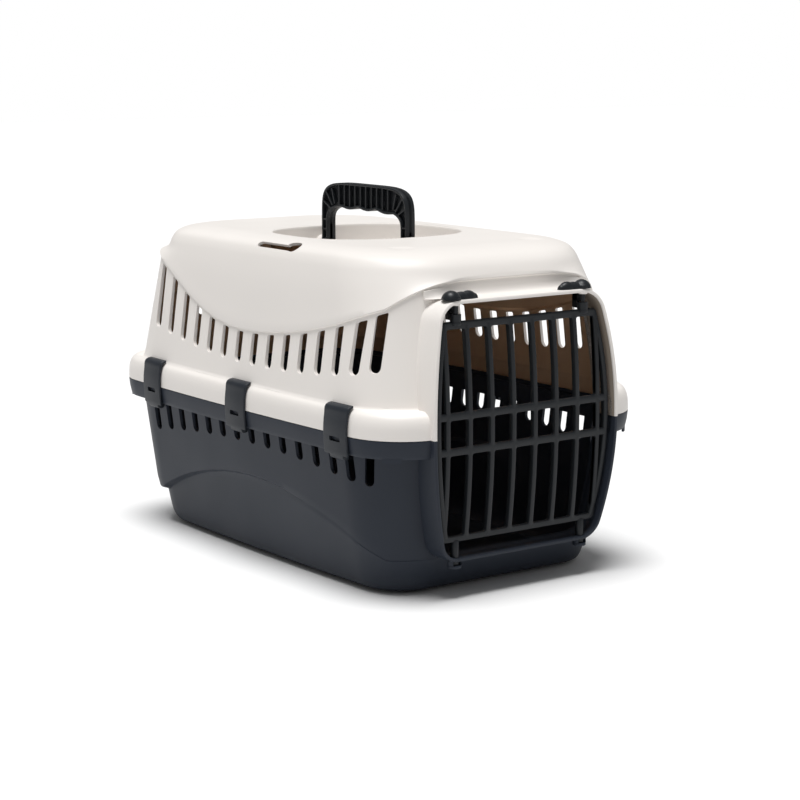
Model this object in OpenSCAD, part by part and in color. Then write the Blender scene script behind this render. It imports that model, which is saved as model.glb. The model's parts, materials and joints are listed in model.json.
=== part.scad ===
/* [Body] */
// Overall length, front of the collar to the rear rim
body_l = 460; // [440:1:500]
// Width across the rim at its widest
body_w = 289; // [276:1:310]
// Height of the joint between base and top
parting_z = 136.3; // [125:0.1:145]
// Height of the flat of the roof
roof_z = 282; // [272:0.5:292]
// Wall thickness of both shells
wall = 2.6; // [2:0.1:3]

/* [Rim] */
// Corner radius of the rim in plan
rim_r = 52; // [44:1:60]
// How much the long sides draw in towards the ends
rim_bow = 4.3; // [0:0.1:6]
// Height of the rounded shoulder above the joint
shoulder_h = 22; // [18:0.5:26]
// Depth of the dark skirt below the joint
skirt_h = 15.3; // [12:0.1:17]
// Setback of the side walls from the rim
side_set = 7; // [6:0.1:9]
// Setback of the front and rear walls from the rim
end_set = 14.6; // [12:0.1:17]
// Height of the locating tongue on the base rim
tongue_h = 4; // [2:0.5:6]

/* [Top shell] */
// Lean of the walls, inwards per unit of height
lean = 0.13; // [0.08:0.01:0.16]
// Height of the lowest point of the swept crease above the joint
crease_h = 67.9; // [62:0.1:72]
// How far the cap stands proud of the slotted wall
cap_proud = 1.5; // [0.8:0.1:2.5]
// Length of the handle well
well_l = 146; // [142:1:150]
// Width of the handle well
well_w = 162; // [156:1:168]
// Depth of the handle well
well_d = 24; // [22:0.5:26]
// Width of the strap keyhole slots beside the well
keyhole_w = 7; // [5:0.5:9]
// Diameter of the round end of the keyhole slots
keyhole_d = 14; // [12:0.5:17]

/* [Vent slots] */
// Number of slots along each side
slots = 15; // [9:2:15]
// Distance from the body's front end to the first side slot
slot_lead = 40.1; // [36:0.1:50]
// Distance from the last side slot to the body's rear end
slot_trail = 79.7; // [70:0.1:90]
// Width of one slot
slot_w = 10; // [5:0.1:10.4]
// Number of slots across the rear
rear_slots = 7; // [3:2:7]

/* [Base shell] */
// Height of the feet
foot_h = 2.5; // [1.5:0.1:4]
// Diameter of the feet
foot_d = 18; // [12:1:24]
// Depth of the arched panel pressed into the base
arch_d = 3; // [1:0.1:3.5]
// Height of the top of the arched panel
arch_z = 75.3; // [65:0.1:80]

/* [Collar] */
// Half width of the collar at its widest
collar_hw = 97.5; // [92:0.5:100]
// Height of the underside of the sill
sill_z = 31.5; // [28:0.5:34]
// Height of the ledge above the door
ledge_z = 246; // [243:0.5:248]
// Thickness of the collar
collar_t = 3.2; // [2.6:0.1:4]
// Forward bow of the collar and door, as a radius
bow_r = 640; // [560:10:900]

/* [Door] */
// Gap between the door's edge and the collar
door_gap = 3.3; // [2.8:0.1:4.5]
// Setback of the door's face behind the collar's edge
door_set = 5.1; // [4:0.1:7]
// Depth of the door bars
door_t = 5; // [4:0.1:6]
// Number of upright bars
bars = 8; // [6:1:9]
// Distance from bar to bar
bar_pitch = 22.7; // [20:0.1:23]
// Width of an upright bar
bar_w = 4.4; // [3:0.1:5]
// Width of the curved stiles
stile_w = 4.6; // [4:0.1:6]
// Bottom edge of the door
door_z0 = 47.9; // [46:0.1:52]
// Top edge of the door
door_z1 = 228.6; // [226:0.1:230]
// Height of the top rail
rail_h = 6; // [5:0.1:8]
// Half distance between the door's two pivot lines
pivot_x = 67.1; // [62:0.1:69]
// Distance of the pivot line behind the door's face at mid height
pivot_set = 8; // [7:0.1:8.5]
// Radius of the bottom pegs
peg_r = 3.6; // [3:0.1:3.8]

/* [Latch knobs] */
// Radius of the latch stem
stem_r = 2.2; // [1.8:0.1:2.3]
// Radius of the knob's dome
dome_r = 8; // [7:0.1:8.5]
// Reach of the knob's wing from the stem
wing_l = 25; // [20:0.5:28]
// Length of the flag on the stem
flag_l = 12; // [9:0.5:13]

/* [Handle] */
// Length of the handle over its legs
handle_l = 131; // [128:0.5:134]
// Height of the handle above its pins
handle_h = 56.5; // [52:0.5:60]
// Thickness of the handle
handle_t = 10; // [9:0.5:12]
// Width of the handle's legs
leg_w = 8.5; // [7:0.5:9.5]
// Height of the grip at its middle
grip_h = 22; // [18:0.5:24]
// Radius of the handle's pins
pin_r = 3; // [2.5:0.1:3.5]
// Place of the handle's centre along the body
handle_y = 0; // [-6:0.5:4]

/* [Side clips] */
// Width of a clip
clip_w = 31; // [24:0.5:34]
// Thickness of a clip
clip_t = 2.2; // [1.8:0.1:3]
// Distance from the body's front end to the front clip
clip_lead = 72.5; // [66:0.1:85]
// Distance from the rear clip to the body's rear end
clip_trail = 87.9; // [70:0.1:95]
// Radius of the clip's pin
clip_pin_r = 1.5; // [1.2:0.1:1.7]

/* [Clearances] */
// Radial running clearance of every pin in its hole
run = 0.05; // [0.02:0.01:0.1]
// Gap between parts that lie against each other
gap = 0.4; // [0.3:0.05:0.6]

/* [Hidden] */
$fn = 48;
cream = "#ebe7e1";
slate = "#4e525a";
dark = "#3a3e44";

// plan of the rim
rear_y = body_l / 2;
front_y = -(body_l / 2 - 4);
side_y = -16;
bow_len = body_l / 2 - 43;
// points on the plan: front, front corner, side, rear corner, rear
n_end = 3;
n_cor = 5;
n_side = 12;

// heights of the top shell
ledge_top = parting_z + shoulder_h;
crease_z = parting_z + crease_h;
well_floor = roof_z - well_d;
// lower wall: setback grows downwards from the skirt
low_set = side_set - 2.2;
end_more = end_set - side_set;
base_z = foot_h;

function rim_x(y) = body_w / 2 - rim_bow * pow((y - side_y) / bow_len, 2);

// One plan outline as [x, y, nx, ny]; i = [side, front, rear] setbacks,
// r = [front, rear] corner radii. It runs from the front middle round by +X.
function half_plan(i, r) =
    let (yf = front_y + i[1], yr = rear_y - i[2],
         xf = rim_x(yf + r[0]) - i[0] - r[0], xr = rim_x(yr - r[1]) - i[0] - r[1])
    concat(
        [for (k = [0:n_end - 1]) [xf * k / n_end, yf, 0, -1]],
        [for (k = [0:n_cor]) let (a = -90 + 90 * k / n_cor)
            [xf + r[0] * cos(a), yf + r[0] + r[0] * sin(a), cos(a), sin(a)]],
        [for (k = [1:n_side - 1]) let (y = yf + r[0] + (yr - r[1] - yf - r[0]) * k / n_side)
            [rim_x(y) - i[0], y, 1, 0]],
        [for (k = [0:n_cor]) let (a = 90 * k / n_cor)
            [xr + r[1] * cos(a), yr - r[1] + r[1] * sin(a), cos(a), sin(a)]],
        [for (k = [1:n_end]) [xr * (1 - k / n_end), yr, 0, 1]]);
function plan(i, r) =
    let (h = half_plan(i, r), n = len(h))
    concat(h, [for (k = [n - 2:-1:1]) [-h[k][0], h[k][1], -h[k][2], h[k][3]]]);

// A ring of points at one height
function level(i, r, z) = [for (p = plan(i, r)) [p[0], p[1], z]];
// A ring whose height follows the swept crease, on a wall that leans in
function swoosh(x, y) =
    let (s = (y < 0 ? 0.00098 : 0.0022) * y * y,
         brow = y < -120 ? 13.5 * max(0, 1 - pow(x / 118, 4)) * min(1, (-120 - y) / 60) : 0)
    crease_z + s / pow(1 + pow(s / 56, 4), 0.25) + brow;
function crease(i, r, dz) = [for (p = plan(i, r))
    let (z = swoosh(p[0], p[1]) + dz, d = lean * (z - ledge_top))
    [p[0] - p[2] * d, p[1] - p[3] * d, z]];
// A ring that follows the arch pressed into the base
function arch(y) = max(33, arch_z - 0.0013 * pow(y + 13, 2));
function arch_depth(y) = arch_d * min(1, max(0, (y + 135) / 60));
function arched(i, r, dz, inner) = [for (p = plan(i, r))
    let (z = arch(p[1]) + dz, d = lean * (parting_z - z) + (inner ? arch_depth(p[1]) : 0))
    [p[0] - p[2] * d, p[1] - p[3] * d, z]];

function turned(v) = [for (k = [len(v) - 1:-1:0]) v[k]];
// A closed solid through a stack of rings, from its upper middle outwards and down
module loft(rows) {
    n = len(rows[0]);
    m = len(rows);
    first = [0, rows[0][0][1] / 2 + rows[0][floor(n / 2)][1] / 2, rows[0][0][2]];
    last = [0, first[1], rows[m - 1][0][2]];
    polyhedron(
        points = concat([for (row = rows) each row], [first, last]),
        faces = concat(
            [for (k = [0:n - 1]) [m * n, (k + 1) % n, k]],
            [for (j = [0:m - 2], k = [0:n - 1]) let (q = (k + 1) % n)
                each [[j * n + k, j * n + q, (j + 1) * n + q], [j * n + k, (j + 1) * n + q, (j + 1) * n + k]]],
            [for (k = [0:n - 1]) [m * n + 1, (m - 1) * n + k, (m - 1) * n + (k + 1) % n]]));
}

// setbacks shared by the two faces of a wall
function ins(side, w = 0) = [side + w, side + end_more + w, side + end_more + w];
function set3(v, w) = [v[0] + w, v[1] + w, v[2] + w];
wall_r = [62, 62];
cap_r = [76, 76];

// Shoulder of the cap: setbacks, corner radii, depth below the roof, and the
// way to its inner face
cap_rows = [
    [[20.6, 23.5, 27.5], cap_r, 19, [1, 0.25]],
    [[23.6, 30, 31], [74, 75], 11.5, [0.9, 0.5]],
    [[27.5, 39, 36.5], [70, 72], 6, [0.65, 0.8]],
    [[33, 49, 43], [66, 68], 2.6, [0.35, 0.95]],
    [[41, 61, 52], [60, 62], 0.7, [0.1, 1]]];
roof_in = [72, 90, 86];

// ---- top shell ----
module top_body() {
    foot = ins(side_set);
    loft(concat(
        [level(roof_in, [50, 50], roof_z)],
        [for (k = [len(cap_rows) - 1:-1:0]) let (c = cap_rows[k]) level(c[0], c[1], roof_z - c[2])],
        [crease(set3(foot, -cap_proud), cap_r, 1.2)],
        [crease(foot, cap_r, -1.2)],
        [level(foot, wall_r, ledge_top)],
        [level([5, 6, 6], [rim_r, rim_r], ledge_top - 0.7)],
        [level([2.5, 2.8, 2.8], [rim_r, rim_r], ledge_top - 3.6)],
        [level([0.8, 0.8, 0.8], [rim_r, rim_r], ledge_top - 9)],
        [level([0, 0, 0], [rim_r, rim_r], parting_z)],
        [level([wall, wall, wall], [rim_r - wall, rim_r - wall], parting_z)],
        [level([wall + 1, wall + 1, wall + 1], [rim_r - wall, rim_r - wall], ledge_top - 8)],
        [level([5.4, 5.8, 5.8], [rim_r - wall, rim_r - wall], ledge_top - wall - 0.9)],
        [level(ins(side_set, wall), [60, 60], ledge_top - wall)],
        [crease(set3(foot, wall), [74, 74], -1.2)],
        [crease(set3(foot, wall - cap_proud), [74, 74], 1.2)],
        [for (c = cap_rows) level(set3(c[0], wall * c[3][0]), c[1], roof_z - c[2] - wall * c[3][1])],
        [level(roof_in, [50, 50], roof_z - wall)]));
}

// Outline of the collar and door: bowed sides, rounded corners
side_r = 380;
side_cx = collar_hw - side_r;
side_cz = 142.4;
function arc(cx, cz, r, a0, a1, n) = [for (k = [0:n]) let (a = a0 + (a1 - a0) * k / n)
    [cx + r * cos(a), cz + r * sin(a)]];
function frame_pts(t, z0, z1, r0, r1) =
    let (rs = side_r - t,
         x1 = side_cx + sqrt(pow(rs - r1, 2) - pow(z1 - r1 - side_cz, 2)),
         a1 = atan2(z1 - r1 - side_cz, x1 - side_cx),
         x0 = side_cx + sqrt(pow(rs - r0, 2) - pow(side_cz - z0 - r0, 2)),
         a0 = -atan2(side_cz - z0 - r0, x0 - side_cx),
         h = concat(arc(x0, z0 + r0, r0, -90, a0, 5), arc(side_cx, side_cz, rs, a0 + 1, a1 - 1, 8),
                    arc(x1, z1 - r1, r1, a1, 90, 5)))
    concat(h, [for (k = [len(h) - 1:-1:0]) [-h[k][0], h[k][1]]]);
collar_r0 = 20;
collar_r1 = 22;
function collar_pts(t) = frame_pts(t, sill_z + t, ledge_z - t, collar_r0 - t, collar_r1 - t);

// Stand a flat XZ outline up and run it along Y from y0 to y1
module along_y(y0, y1) {
    translate([0, y1, 0]) rotate([90, 0, 0]) linear_extrude(y1 - y0) children();
}
// Run a YZ outline along X, centred
module along_x(w) {
    translate([-w / 2, 0, 0]) rotate([90, 0, 90]) linear_extrude(w) children();
}
// The bowed face of collar and door, set back by s
bow_z = 134.7;
function bow_y(z, s = 0) = -body_l / 2 + s + pow(z - bow_z, 2) / (2 * bow_r);
module bow(s) {
    translate([-150, -body_l / 2 + bow_r, bow_z]) rotate([0, 90, 0]) cylinder(r = bow_r - s, h = 300, $fn = 180);
}
function front_wall(z) = front_y + end_set + lean * abs(z - (z > parting_z ? ledge_top : parting_z))
    - (z > parting_z ? 0 : 2.2);
module collar(z0, z1) {
    back = wall / 2 + 5;
    intersection() {
        along_y(-body_l / 2 - 2, -body_l / 2 + 40) difference() {
            polygon(collar_pts(0));
            polygon(collar_pts(collar_t));
        }
        along_x(260) polygon([[-body_l / 2 - 5, z0], [front_wall(z0) + back, z0],
            [front_wall(z1) + back, z1], [-body_l / 2 - 5, z1]]);
        bow(0);
    }
}
module mouth() {
    along_y(-body_l / 2 - 5, -body_l / 2 + 46) polygon(collar_pts(collar_t));
}

// Handle well: an oval tub
function oval(a, b, n, m) = [for (k = [0:m - 1]) let (t = 360 * k / m, c = cos(t), s = sin(t))
    [a * sign(c) * pow(abs(c), 2 / n), b * sign(s) * pow(abs(s), 2 / n)]];
module well(grow, z0, z1) {
    translate([0, handle_y, z0]) linear_extrude(z1 - z0)
        polygon(oval(well_w / 2 + grow, well_l / 2 + grow, 2.6, 48));
}
pivot_z = roof_z + 41.5 - handle_h;
module pin_boss(side) {
    translate([0, handle_y + side * (handle_l / 2 + gap), pivot_z]) rotate([-90 * side, 0, 0])
        cylinder(r = pin_r + 3.5, h = well_l / 2 - handle_l / 2 + 1);
}
module pin_hole(side) {
    translate([0, handle_y + side * handle_l / 2, pivot_z]) rotate([-90 * side, 0, 0])
        cylinder(r = pin_r + run, h = well_l / 2 - handle_l / 2 + 0.3);
}

// Vent slots
slot_mid = (slot_lead - slot_trail) / 2;
slot_pitch = (body_l - slot_lead - slot_trail) / (slots - 1);
function slot_y(k) = slot_mid + (k - (slots - 1) / 2) * slot_pitch;
function slot_foot(y) = parting_z + 38.2 + 0.00048 * pow(y + 25, 2);
function low_foot(y) = parting_z - 30.2 - 0.00045 * pow(y + 20, 2);
// An upright slot with a round foot and a head that follows the crease
module slot_2d(y, z0, za, zb) {
    r = slot_w / 2;
    polygon(concat([[y + r, zb], [y - r, za]], arc(y, z0 + r, r, 180, 360, 8)));
}
module side_slots() {
    for (k = [0:slots - 1]) {
        y = slot_y(k);
        along_x(body_w + 20)
            slot_2d(y, slot_foot(y), swoosh(200, y - slot_w / 2) - 2.6, swoosh(200, y + slot_w / 2) - 2.6);
    }
}
module rear_slots_cut() {
    for (k = [0:rear_slots - 1])
        along_y(body_l / 2 - 50, body_l / 2 + 2)
            slot_2d((k - (rear_slots - 1) / 2) * slot_pitch, parting_z + 52, parting_z + 104, parting_z + 104);
}
// Keyhole slots for a strap, square to the shoulder
keyhole_x = 110;
keyhole_z = roof_z - 3;
keyhole_tilt = 24;
module keyhole(side) {
    translate([side * keyhole_x, -21, keyhole_z]) rotate([0, side * keyhole_tilt, 0]) {
        translate([-keyhole_w / 2, -26, -14]) cube([keyhole_w, 54, 30]);
        translate([0, -26, -14]) cylinder(d = keyhole_d, h = 30);
        translate([0, 28, -14]) cylinder(d = keyhole_w, h = 30);
    }
}
// Shallow dish in the roof near each front corner
dish_r = 60;
module dimple(side) {
    translate([side * 70, -148, roof_z + dish_r - 1.2]) sphere(r = dish_r, $fn = 120);
}

// Door pivot line, shared by stems, forks, pegs and sockets
pivot_y = -body_l / 2 + door_set + pivot_set;
sleeve_h = 4.4;
module stem_sleeve(side) {
    translate([side * pivot_x, pivot_y, ledge_z - sleeve_h]) cylinder(r = stem_r + 1.7, h = sleeve_h - 0.5);
}
module stem_hole(side) {
    translate([side * pivot_x, pivot_y, ledge_z - sleeve_h - 1]) cylinder(r = stem_r + run, h = sleeve_h + 2);
}

module top_shell() {
    color(cream) difference() {
        union() {
            top_body();
            collar(parting_z, ledge_z + 2);
            well(wall, well_floor - wall, roof_z - 1.6);
            for (s = [-1, 1]) stem_sleeve(s);
        }
        mouth_above();
        difference() {
            well(0, well_floor, roof_z + 10);
            for (s = [-1, 1]) pin_boss(s);
        }
        side_slots();
        rear_slots_cut();
        for (s = [-1, 1]) {
            stem_hole(s);
            pin_hole(s);
            keyhole(s);
            dimple(s);
        }
    }
}
// The mouth, kept clear of the sleeves under the ledge
module mouth_above() {
    difference() {
        mouth();
        for (s = [-1, 1]) stem_sleeve(s);
    }
}

// ---- base shell ----
module base_body() {
    skirt_z = parting_z - skirt_h;
    low = ins(low_set);
    t0 = [wall + gap + 1.2, wall + gap + 1.2, wall + gap + 1.2];
    loft(turned([
        level([36, 41, 44], [34, 44], base_z),
        level([31.5, 37, 39], [38, 48], base_z + 1.6),
        level([28.4, 34, 36], [42, 50], base_z + 6),
        level([26, 31.5, 33.5], [46, 53], base_z + 13),
        arched(low, wall_r, -1.6, true),
        arched(low, wall_r, 1.6, false),
        level(low, wall_r, parting_z - wall),
        level([wall, wall, wall], [rim_r - wall, rim_r - wall], parting_z - wall),
        level([wall + 1.6, wall + 1.6, wall + 1.6], [rim_r - wall, rim_r - wall], skirt_z),
        level([1.9, 1.9, 1.9], [rim_r, rim_r], skirt_z),
        level([0.6, 0.6, 0.6], [rim_r, rim_r], skirt_z + 8),
        level([0, 0, 0], [rim_r, rim_r], parting_z),
        level(t0, [rim_r - 4, rim_r - 4], parting_z),
        level(set3(t0, 0.2), [rim_r - 4, rim_r - 4], parting_z + tongue_h),
        level(set3(t0, 1.4), [rim_r - 6, rim_r - 6], parting_z + tongue_h),
        level(set3(t0, 1.6), [rim_r - 6, rim_r - 6], parting_z),
        level(ins(low_set, wall), [60, 60], parting_z),
        arched(set3(low, wall), [60, 60], 1.6, false),
        arched(set3(low, wall), [60, 60], -1.6, true),
        level([28.6, 34.1, 36.1], [44, 51], base_z + 13),
        level([31.4, 37, 39], [40, 48], base_z + 7),
        level([36, 41, 44], [34, 44], base_z + wall)]));
}
foot_x = 48;
foot_y = body_l / 2 - 65;
module feet() {
    for (x = [-foot_x, foot_x], y = [-foot_y, foot_y])
        translate([x, y, 0]) cylinder(d = foot_d, h = foot_h + wall / 2);
}
module low_slots() {
    for (k = [0:slots - 1]) {
        y = slot_y(k);
        along_x(body_w + 20) slot_2d(y, low_foot(y), parting_z - skirt_h - 0.6, parting_z - skirt_h - 0.6);
    }
}
// Peg sockets under the sill, open to the front so that either side can let go
socket_h = 6.5;
// widening of the open side, so that a peg can leave on its arc
flare = 0.06;
module socket(side) {
    translate([side * pivot_x, pivot_y, sill_z - socket_h + 1]) cylinder(r = peg_r + 2.2, h = socket_h);
}
module socket_cut(side) {
    r = peg_r + run;
    translate([side * pivot_x, pivot_y, sill_z - socket_h + 3.5]) {
        cylinder(r = r, h = socket_h + collar_t);
        linear_extrude(socket_h + collar_t)
            polygon([[-r, 0], [r, 0], [r + flare * 20, -20], [-r - flare * 20, -20]]);
    }
}

// Side clips: where they stand and the pin line under the rim
pin_u = -3.6;
pin_z = parting_z - skirt_h - 2.9;
knuckle_r = 2.3;
lug_w = 6;
clip_mid = (clip_lead - clip_trail) / 2;
function clip_y(k) = clip_mid + (1 - k) * (body_l - clip_lead - clip_trail) / 2;
function clip_turn(y) = atan(2 * rim_bow * (y - side_y) / pow(bow_len, 2));
module at_clip(side, k) {
    y = clip_y(k);
    mirror([side < 0 ? 1 : 0, 0, 0]) translate([rim_x(y), y, 0]) rotate([0, 0, clip_turn(y)]) children();
}
module barrel(r, w) {
    translate([pin_u, w / 2, pin_z]) rotate([90, 0, 0]) cylinder(r = r, h = w);
}
module clip_lug() {
    difference() {
        union() {
            barrel(knuckle_r, lug_w);
            translate([pin_u - 6, -lug_w / 2, pin_z - 1.8]) cube([6, lug_w, knuckle_r + 1.8]);
        }
        barrel(clip_pin_r + run, lug_w + 2);
    }
}
// Small lugs that hang from the skirt at the four corners
module corner_lug(sx, sy) {
    cy = sy > 0 ? rear_y - rim_r : front_y + rim_r;
    cx = rim_x(cy) - rim_r;
    translate([sx * cx, cy, parting_z - skirt_h - 3]) rotate([0, 0, sx > 0 ? sy * 45 : 180 - sy * 45])
        translate([rim_r - 4.2, -8, 0]) cube([1.6, 16, 5]);
}

module base_shell() {
    color(slate) difference() {
        union() {
            base_body();
            collar(sill_z - 1, parting_z);
            feet();
            for (s = [-1, 1]) {
                socket(s);
                for (k = [0:2]) at_clip(s, k) clip_lug();
                for (e = [-1, 1]) corner_lug(s, e);
            }
        }
        mouth();
        low_slots();
        for (s = [-1, 1]) socket_cut(s);
        translate([-collar_hw - 6, -body_l / 2 - 5, parting_z]) cube([2 * collar_hw + 12, 40, tongue_h + 2]);
    }
}

// ---- side clip ----
// Section in XZ, X measured outwards from the rim line
module clip_section() {
    g = gap;
    z = parting_z;
    t = clip_t;
    polygon([
        [-1.4 + g, z - skirt_h + 0.3], [-0.5 + g, z - 7], [g, z], [g - 0.7, z + 12.8],
        [g - 2.2, ledge_top - 3.2 + g], [g - 4.2, ledge_top - 0.2 + g], [-5.6, ledge_top + g + 0.2],
        [-5.6, ledge_top + g + t], [g - 3.2, ledge_top + g + t - 0.4], [g - 0.4, ledge_top - 1.6 + t],
        [g + t - 1, z + 15], [g + t, z], [g + t - 0.5, z - 7], [g + t - 1.3, z - skirt_h - 0.4],
        [g + t - 2.2, pin_z - 1], [pin_u + 2.2, pin_z - knuckle_r], [pin_u, pin_z - knuckle_r],
        [pin_u, pin_z]]);
}
module clip(side, k) {
    color(dark) at_clip(side, k) {
        difference() {
            union() {
                translate([0, clip_w / 2, 0]) rotate([90, 0, 0]) linear_extrude(clip_w) clip_section();
                barrel(knuckle_r, clip_w);
            }
            barrel(knuckle_r + gap, lug_w + 2 * gap);
            translate([-2, -7, parting_z - 5.6]) cube([10, 14, 3.9]);
        }
        barrel(clip_pin_r, lug_w + 4);
    }
}

// ---- door ----
door_t0 = collar_t + door_gap;
function door_pts(t, r) = frame_pts(door_t0 + t, door_z0 + t, door_z1 - t, r, r);
rail_a = 152.6;
rail_b = 123.7;
fork_h = 6;
module window(x0, x1, z0, z1, r) {
    polygon(concat(arc(x1 - r, z0 + r, r, -90, 0, 3), arc(x1 - r, z1 - r, r, 0, 90, 3),
                   arc(x0 + r, z1 - r, r, 90, 180, 3), arc(x0 + r, z0 + r, r, 180, 270, 3)));
}
module grille() {
    rows = [[door_z0 + rail_h - 1, rail_b - rail_h / 2], [rail_b + rail_h / 2, rail_a - rail_h / 2],
            [rail_a + rail_h / 2, door_z1 - rail_h]];
    edge = (bars - 1) / 2 * bar_pitch;
    difference() {
        polygon(door_pts(0, 3.5));
        for (row = rows) {
            for (k = [0:bars - 2]) {
                x = -edge + k * bar_pitch;
                window(x + bar_w / 2, x + bar_pitch - bar_w / 2, row[0], row[1], 1.6);
            }
            // slivers between the outer bars and the curved stiles
            for (s = [-1, 1]) intersection() {
                frame_window();
                translate([s > 0 ? edge + bar_w / 2 : -edge - bar_w / 2 - 30, row[0]]) square([30, row[1] - row[0]]);
            }
        }
    }
}
module frame_window() {
    polygon(frame_pts(door_t0 + stile_w, door_z0 + rail_h - 1, door_z1 - rail_h, 2, 2));
}
// A fork round the latch stem, open to the rear
module fork(side) {
    r = stem_r + 2.4;
    b = stem_r + run;
    translate([side * pivot_x, pivot_y, door_z1 - 1]) difference() {
        cylinder(r = r, h = fork_h + 1);
        translate([0, 0, 1]) cylinder(r = b, h = fork_h + 2);
        translate([0, 0, 1]) linear_extrude(fork_h + 2)
            polygon([[-b, 0], [b, 0], [b + flare * 2 * r, 2 * r], [-b - flare * 2 * r, 2 * r]]);
    }
}
module peg(side) {
    z0 = sill_z - socket_h + 3.5 + gap;
    translate([side * pivot_x, pivot_y, z0]) cylinder(r = peg_r, h = door_z0 - z0 + 1);
}
module door() {
    color(dark) union() {
        intersection() {
            along_y(-body_l / 2, -body_l / 2 + 40) grille();
            difference() {
                bow(door_set);
                bow(door_set + door_t);
            }
        }
        for (s = [-1, 1]) {
            fork(s);
            peg(s);
        }
    }
}

// ---- latch knob ----
flag_r = stem_r + 3;
module knob() {
    intersection() {
        union() {
            translate([1.8, 3.6, -1.6]) sphere(r = dome_r + 0.6, $fn = 40);
            hull() {
                translate([-5, 3.4, 0]) sphere(r = 5, $fn = 20);
                translate([-wing_l * 0.55, 3.4, 0]) sphere(r = 6, $fn = 20);
                translate([-wing_l + 3, 3.4, 0]) sphere(r = 3, $fn = 20);
            }
            cylinder(r = stem_r + 2.4, h = 4);
        }
        translate([-40, -40, 0]) cube([80, 80, 20]);
    }
}
module latch(side) {
    stem_z = door_z1 + gap + 0.2;
    arm_z = door_z1 + fork_h + gap;
    arm_top = ledge_z - sleeve_h - gap;
    color(dark) translate([side * pivot_x, pivot_y, 0]) mirror([side < 0 ? 1 : 0, 0, 0]) {
        translate([0, 0, stem_z]) cylinder(r = stem_r, h = ledge_z + 1 - stem_z);
        translate([0, 0, ledge_z + gap / 2]) knob();
        translate([-1.5, 0, arm_z]) cube([3, flag_l, arm_top - arm_z]);
        translate([-1.5, flag_r, stem_z]) cube([3, flag_l - flag_r, arm_top - stem_z]);
    }
}

// ---- handle ----
// Outlines about the middle of the handle, heights above the pins
bend_z = 18;
// finger lobes under the grip
lobe = 27;
lobe_y = 5.5;
function arch_pts(a, h, n, m, wave) = [for (k = [0:m]) let (t = 180 * k / m, c = cos(t), s = sin(t),
    y = a * sign(c) * pow(abs(c), 2 / n), z = bend_z + (h - bend_z) * pow(s, 2 / n))
    [y, z - (wave > 0 && abs(y + lobe_y) < 1.5 * lobe ? wave * abs(cos((y + lobe_y) * 180 / lobe)) : 0)]];
function bail(a0, a1, h0, h1, z0, wave) = concat(
    [[a0, z0]], arch_pts(a0, h0, 5, 36, 0), [[-a0, z0], [-a1, z0]],
    [for (p = arch_pts(a1, h1, 3.6, 90, wave)) [-p[0], p[1]]], [[a1, z0]]);
rib_pitch = 8.4;
rib_w = 1.3;
skin = 2;
module ribs() {
    for (k = [-4.5:1:4.5]) translate([k * rib_pitch - rib_w / 2, 30]) square([rib_w, 40]);
    for (s = [-1, 1]) {
        for (a = [28, 50, 72]) translate([s * 42, 28]) rotate(s > 0 ? 90 - a : a - 90) translate([-rib_w / 2, 0]) square([rib_w, 44]);
        for (z = [12, 21]) translate([s > 0 ? 48 : -74, z]) square([26, rib_w]);
    }
}
module pocket_2d() {
    a = handle_l / 2;
    difference() {
        polygon(bail(a - skin, a - leg_w + skin, handle_h - skin, handle_h - grip_h + skin + 0.6, 4, 0));
        ribs();
    }
}
module handle() {
    a = handle_l / 2;
    pocket_d = handle_t / 2 - 1.5;
    color(dark) translate([0, handle_y, pivot_z]) {
        difference() {
            along_x(handle_t) polygon(bail(a, a - leg_w, handle_h, handle_h - grip_h + 1, -6, 2.6));
            for (s = [-1, 1]) translate([s * (1.5 + pocket_d / 2 + 1), 0, 0]) along_x(pocket_d + 2) pocket_2d();
        }
        for (s = [-1, 1]) translate([0, s * (a - 1), 0]) rotate([-90 * s, 0, 0])
            cylinder(r = pin_r, h = well_l / 2 - a + 0.8);
    }
}

top_shell();
base_shell();
door();
latch(-1);  // latch_left
latch(1);  // latch_right
handle();
clip(-1, 0);  // clip_left_rear
clip(-1, 1);  // clip_left_middle
clip(-1, 2);  // clip_left_front
clip(1, 0);  // clip_right_rear
clip(1, 1);  // clip_right_middle
clip(1, 2);  // clip_right_front
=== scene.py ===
"""Plastic pet keeper: a small carrier with a vented top shell, a base, a barred
front door with two latch knobs, a folding handle and six side clips."""

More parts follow.
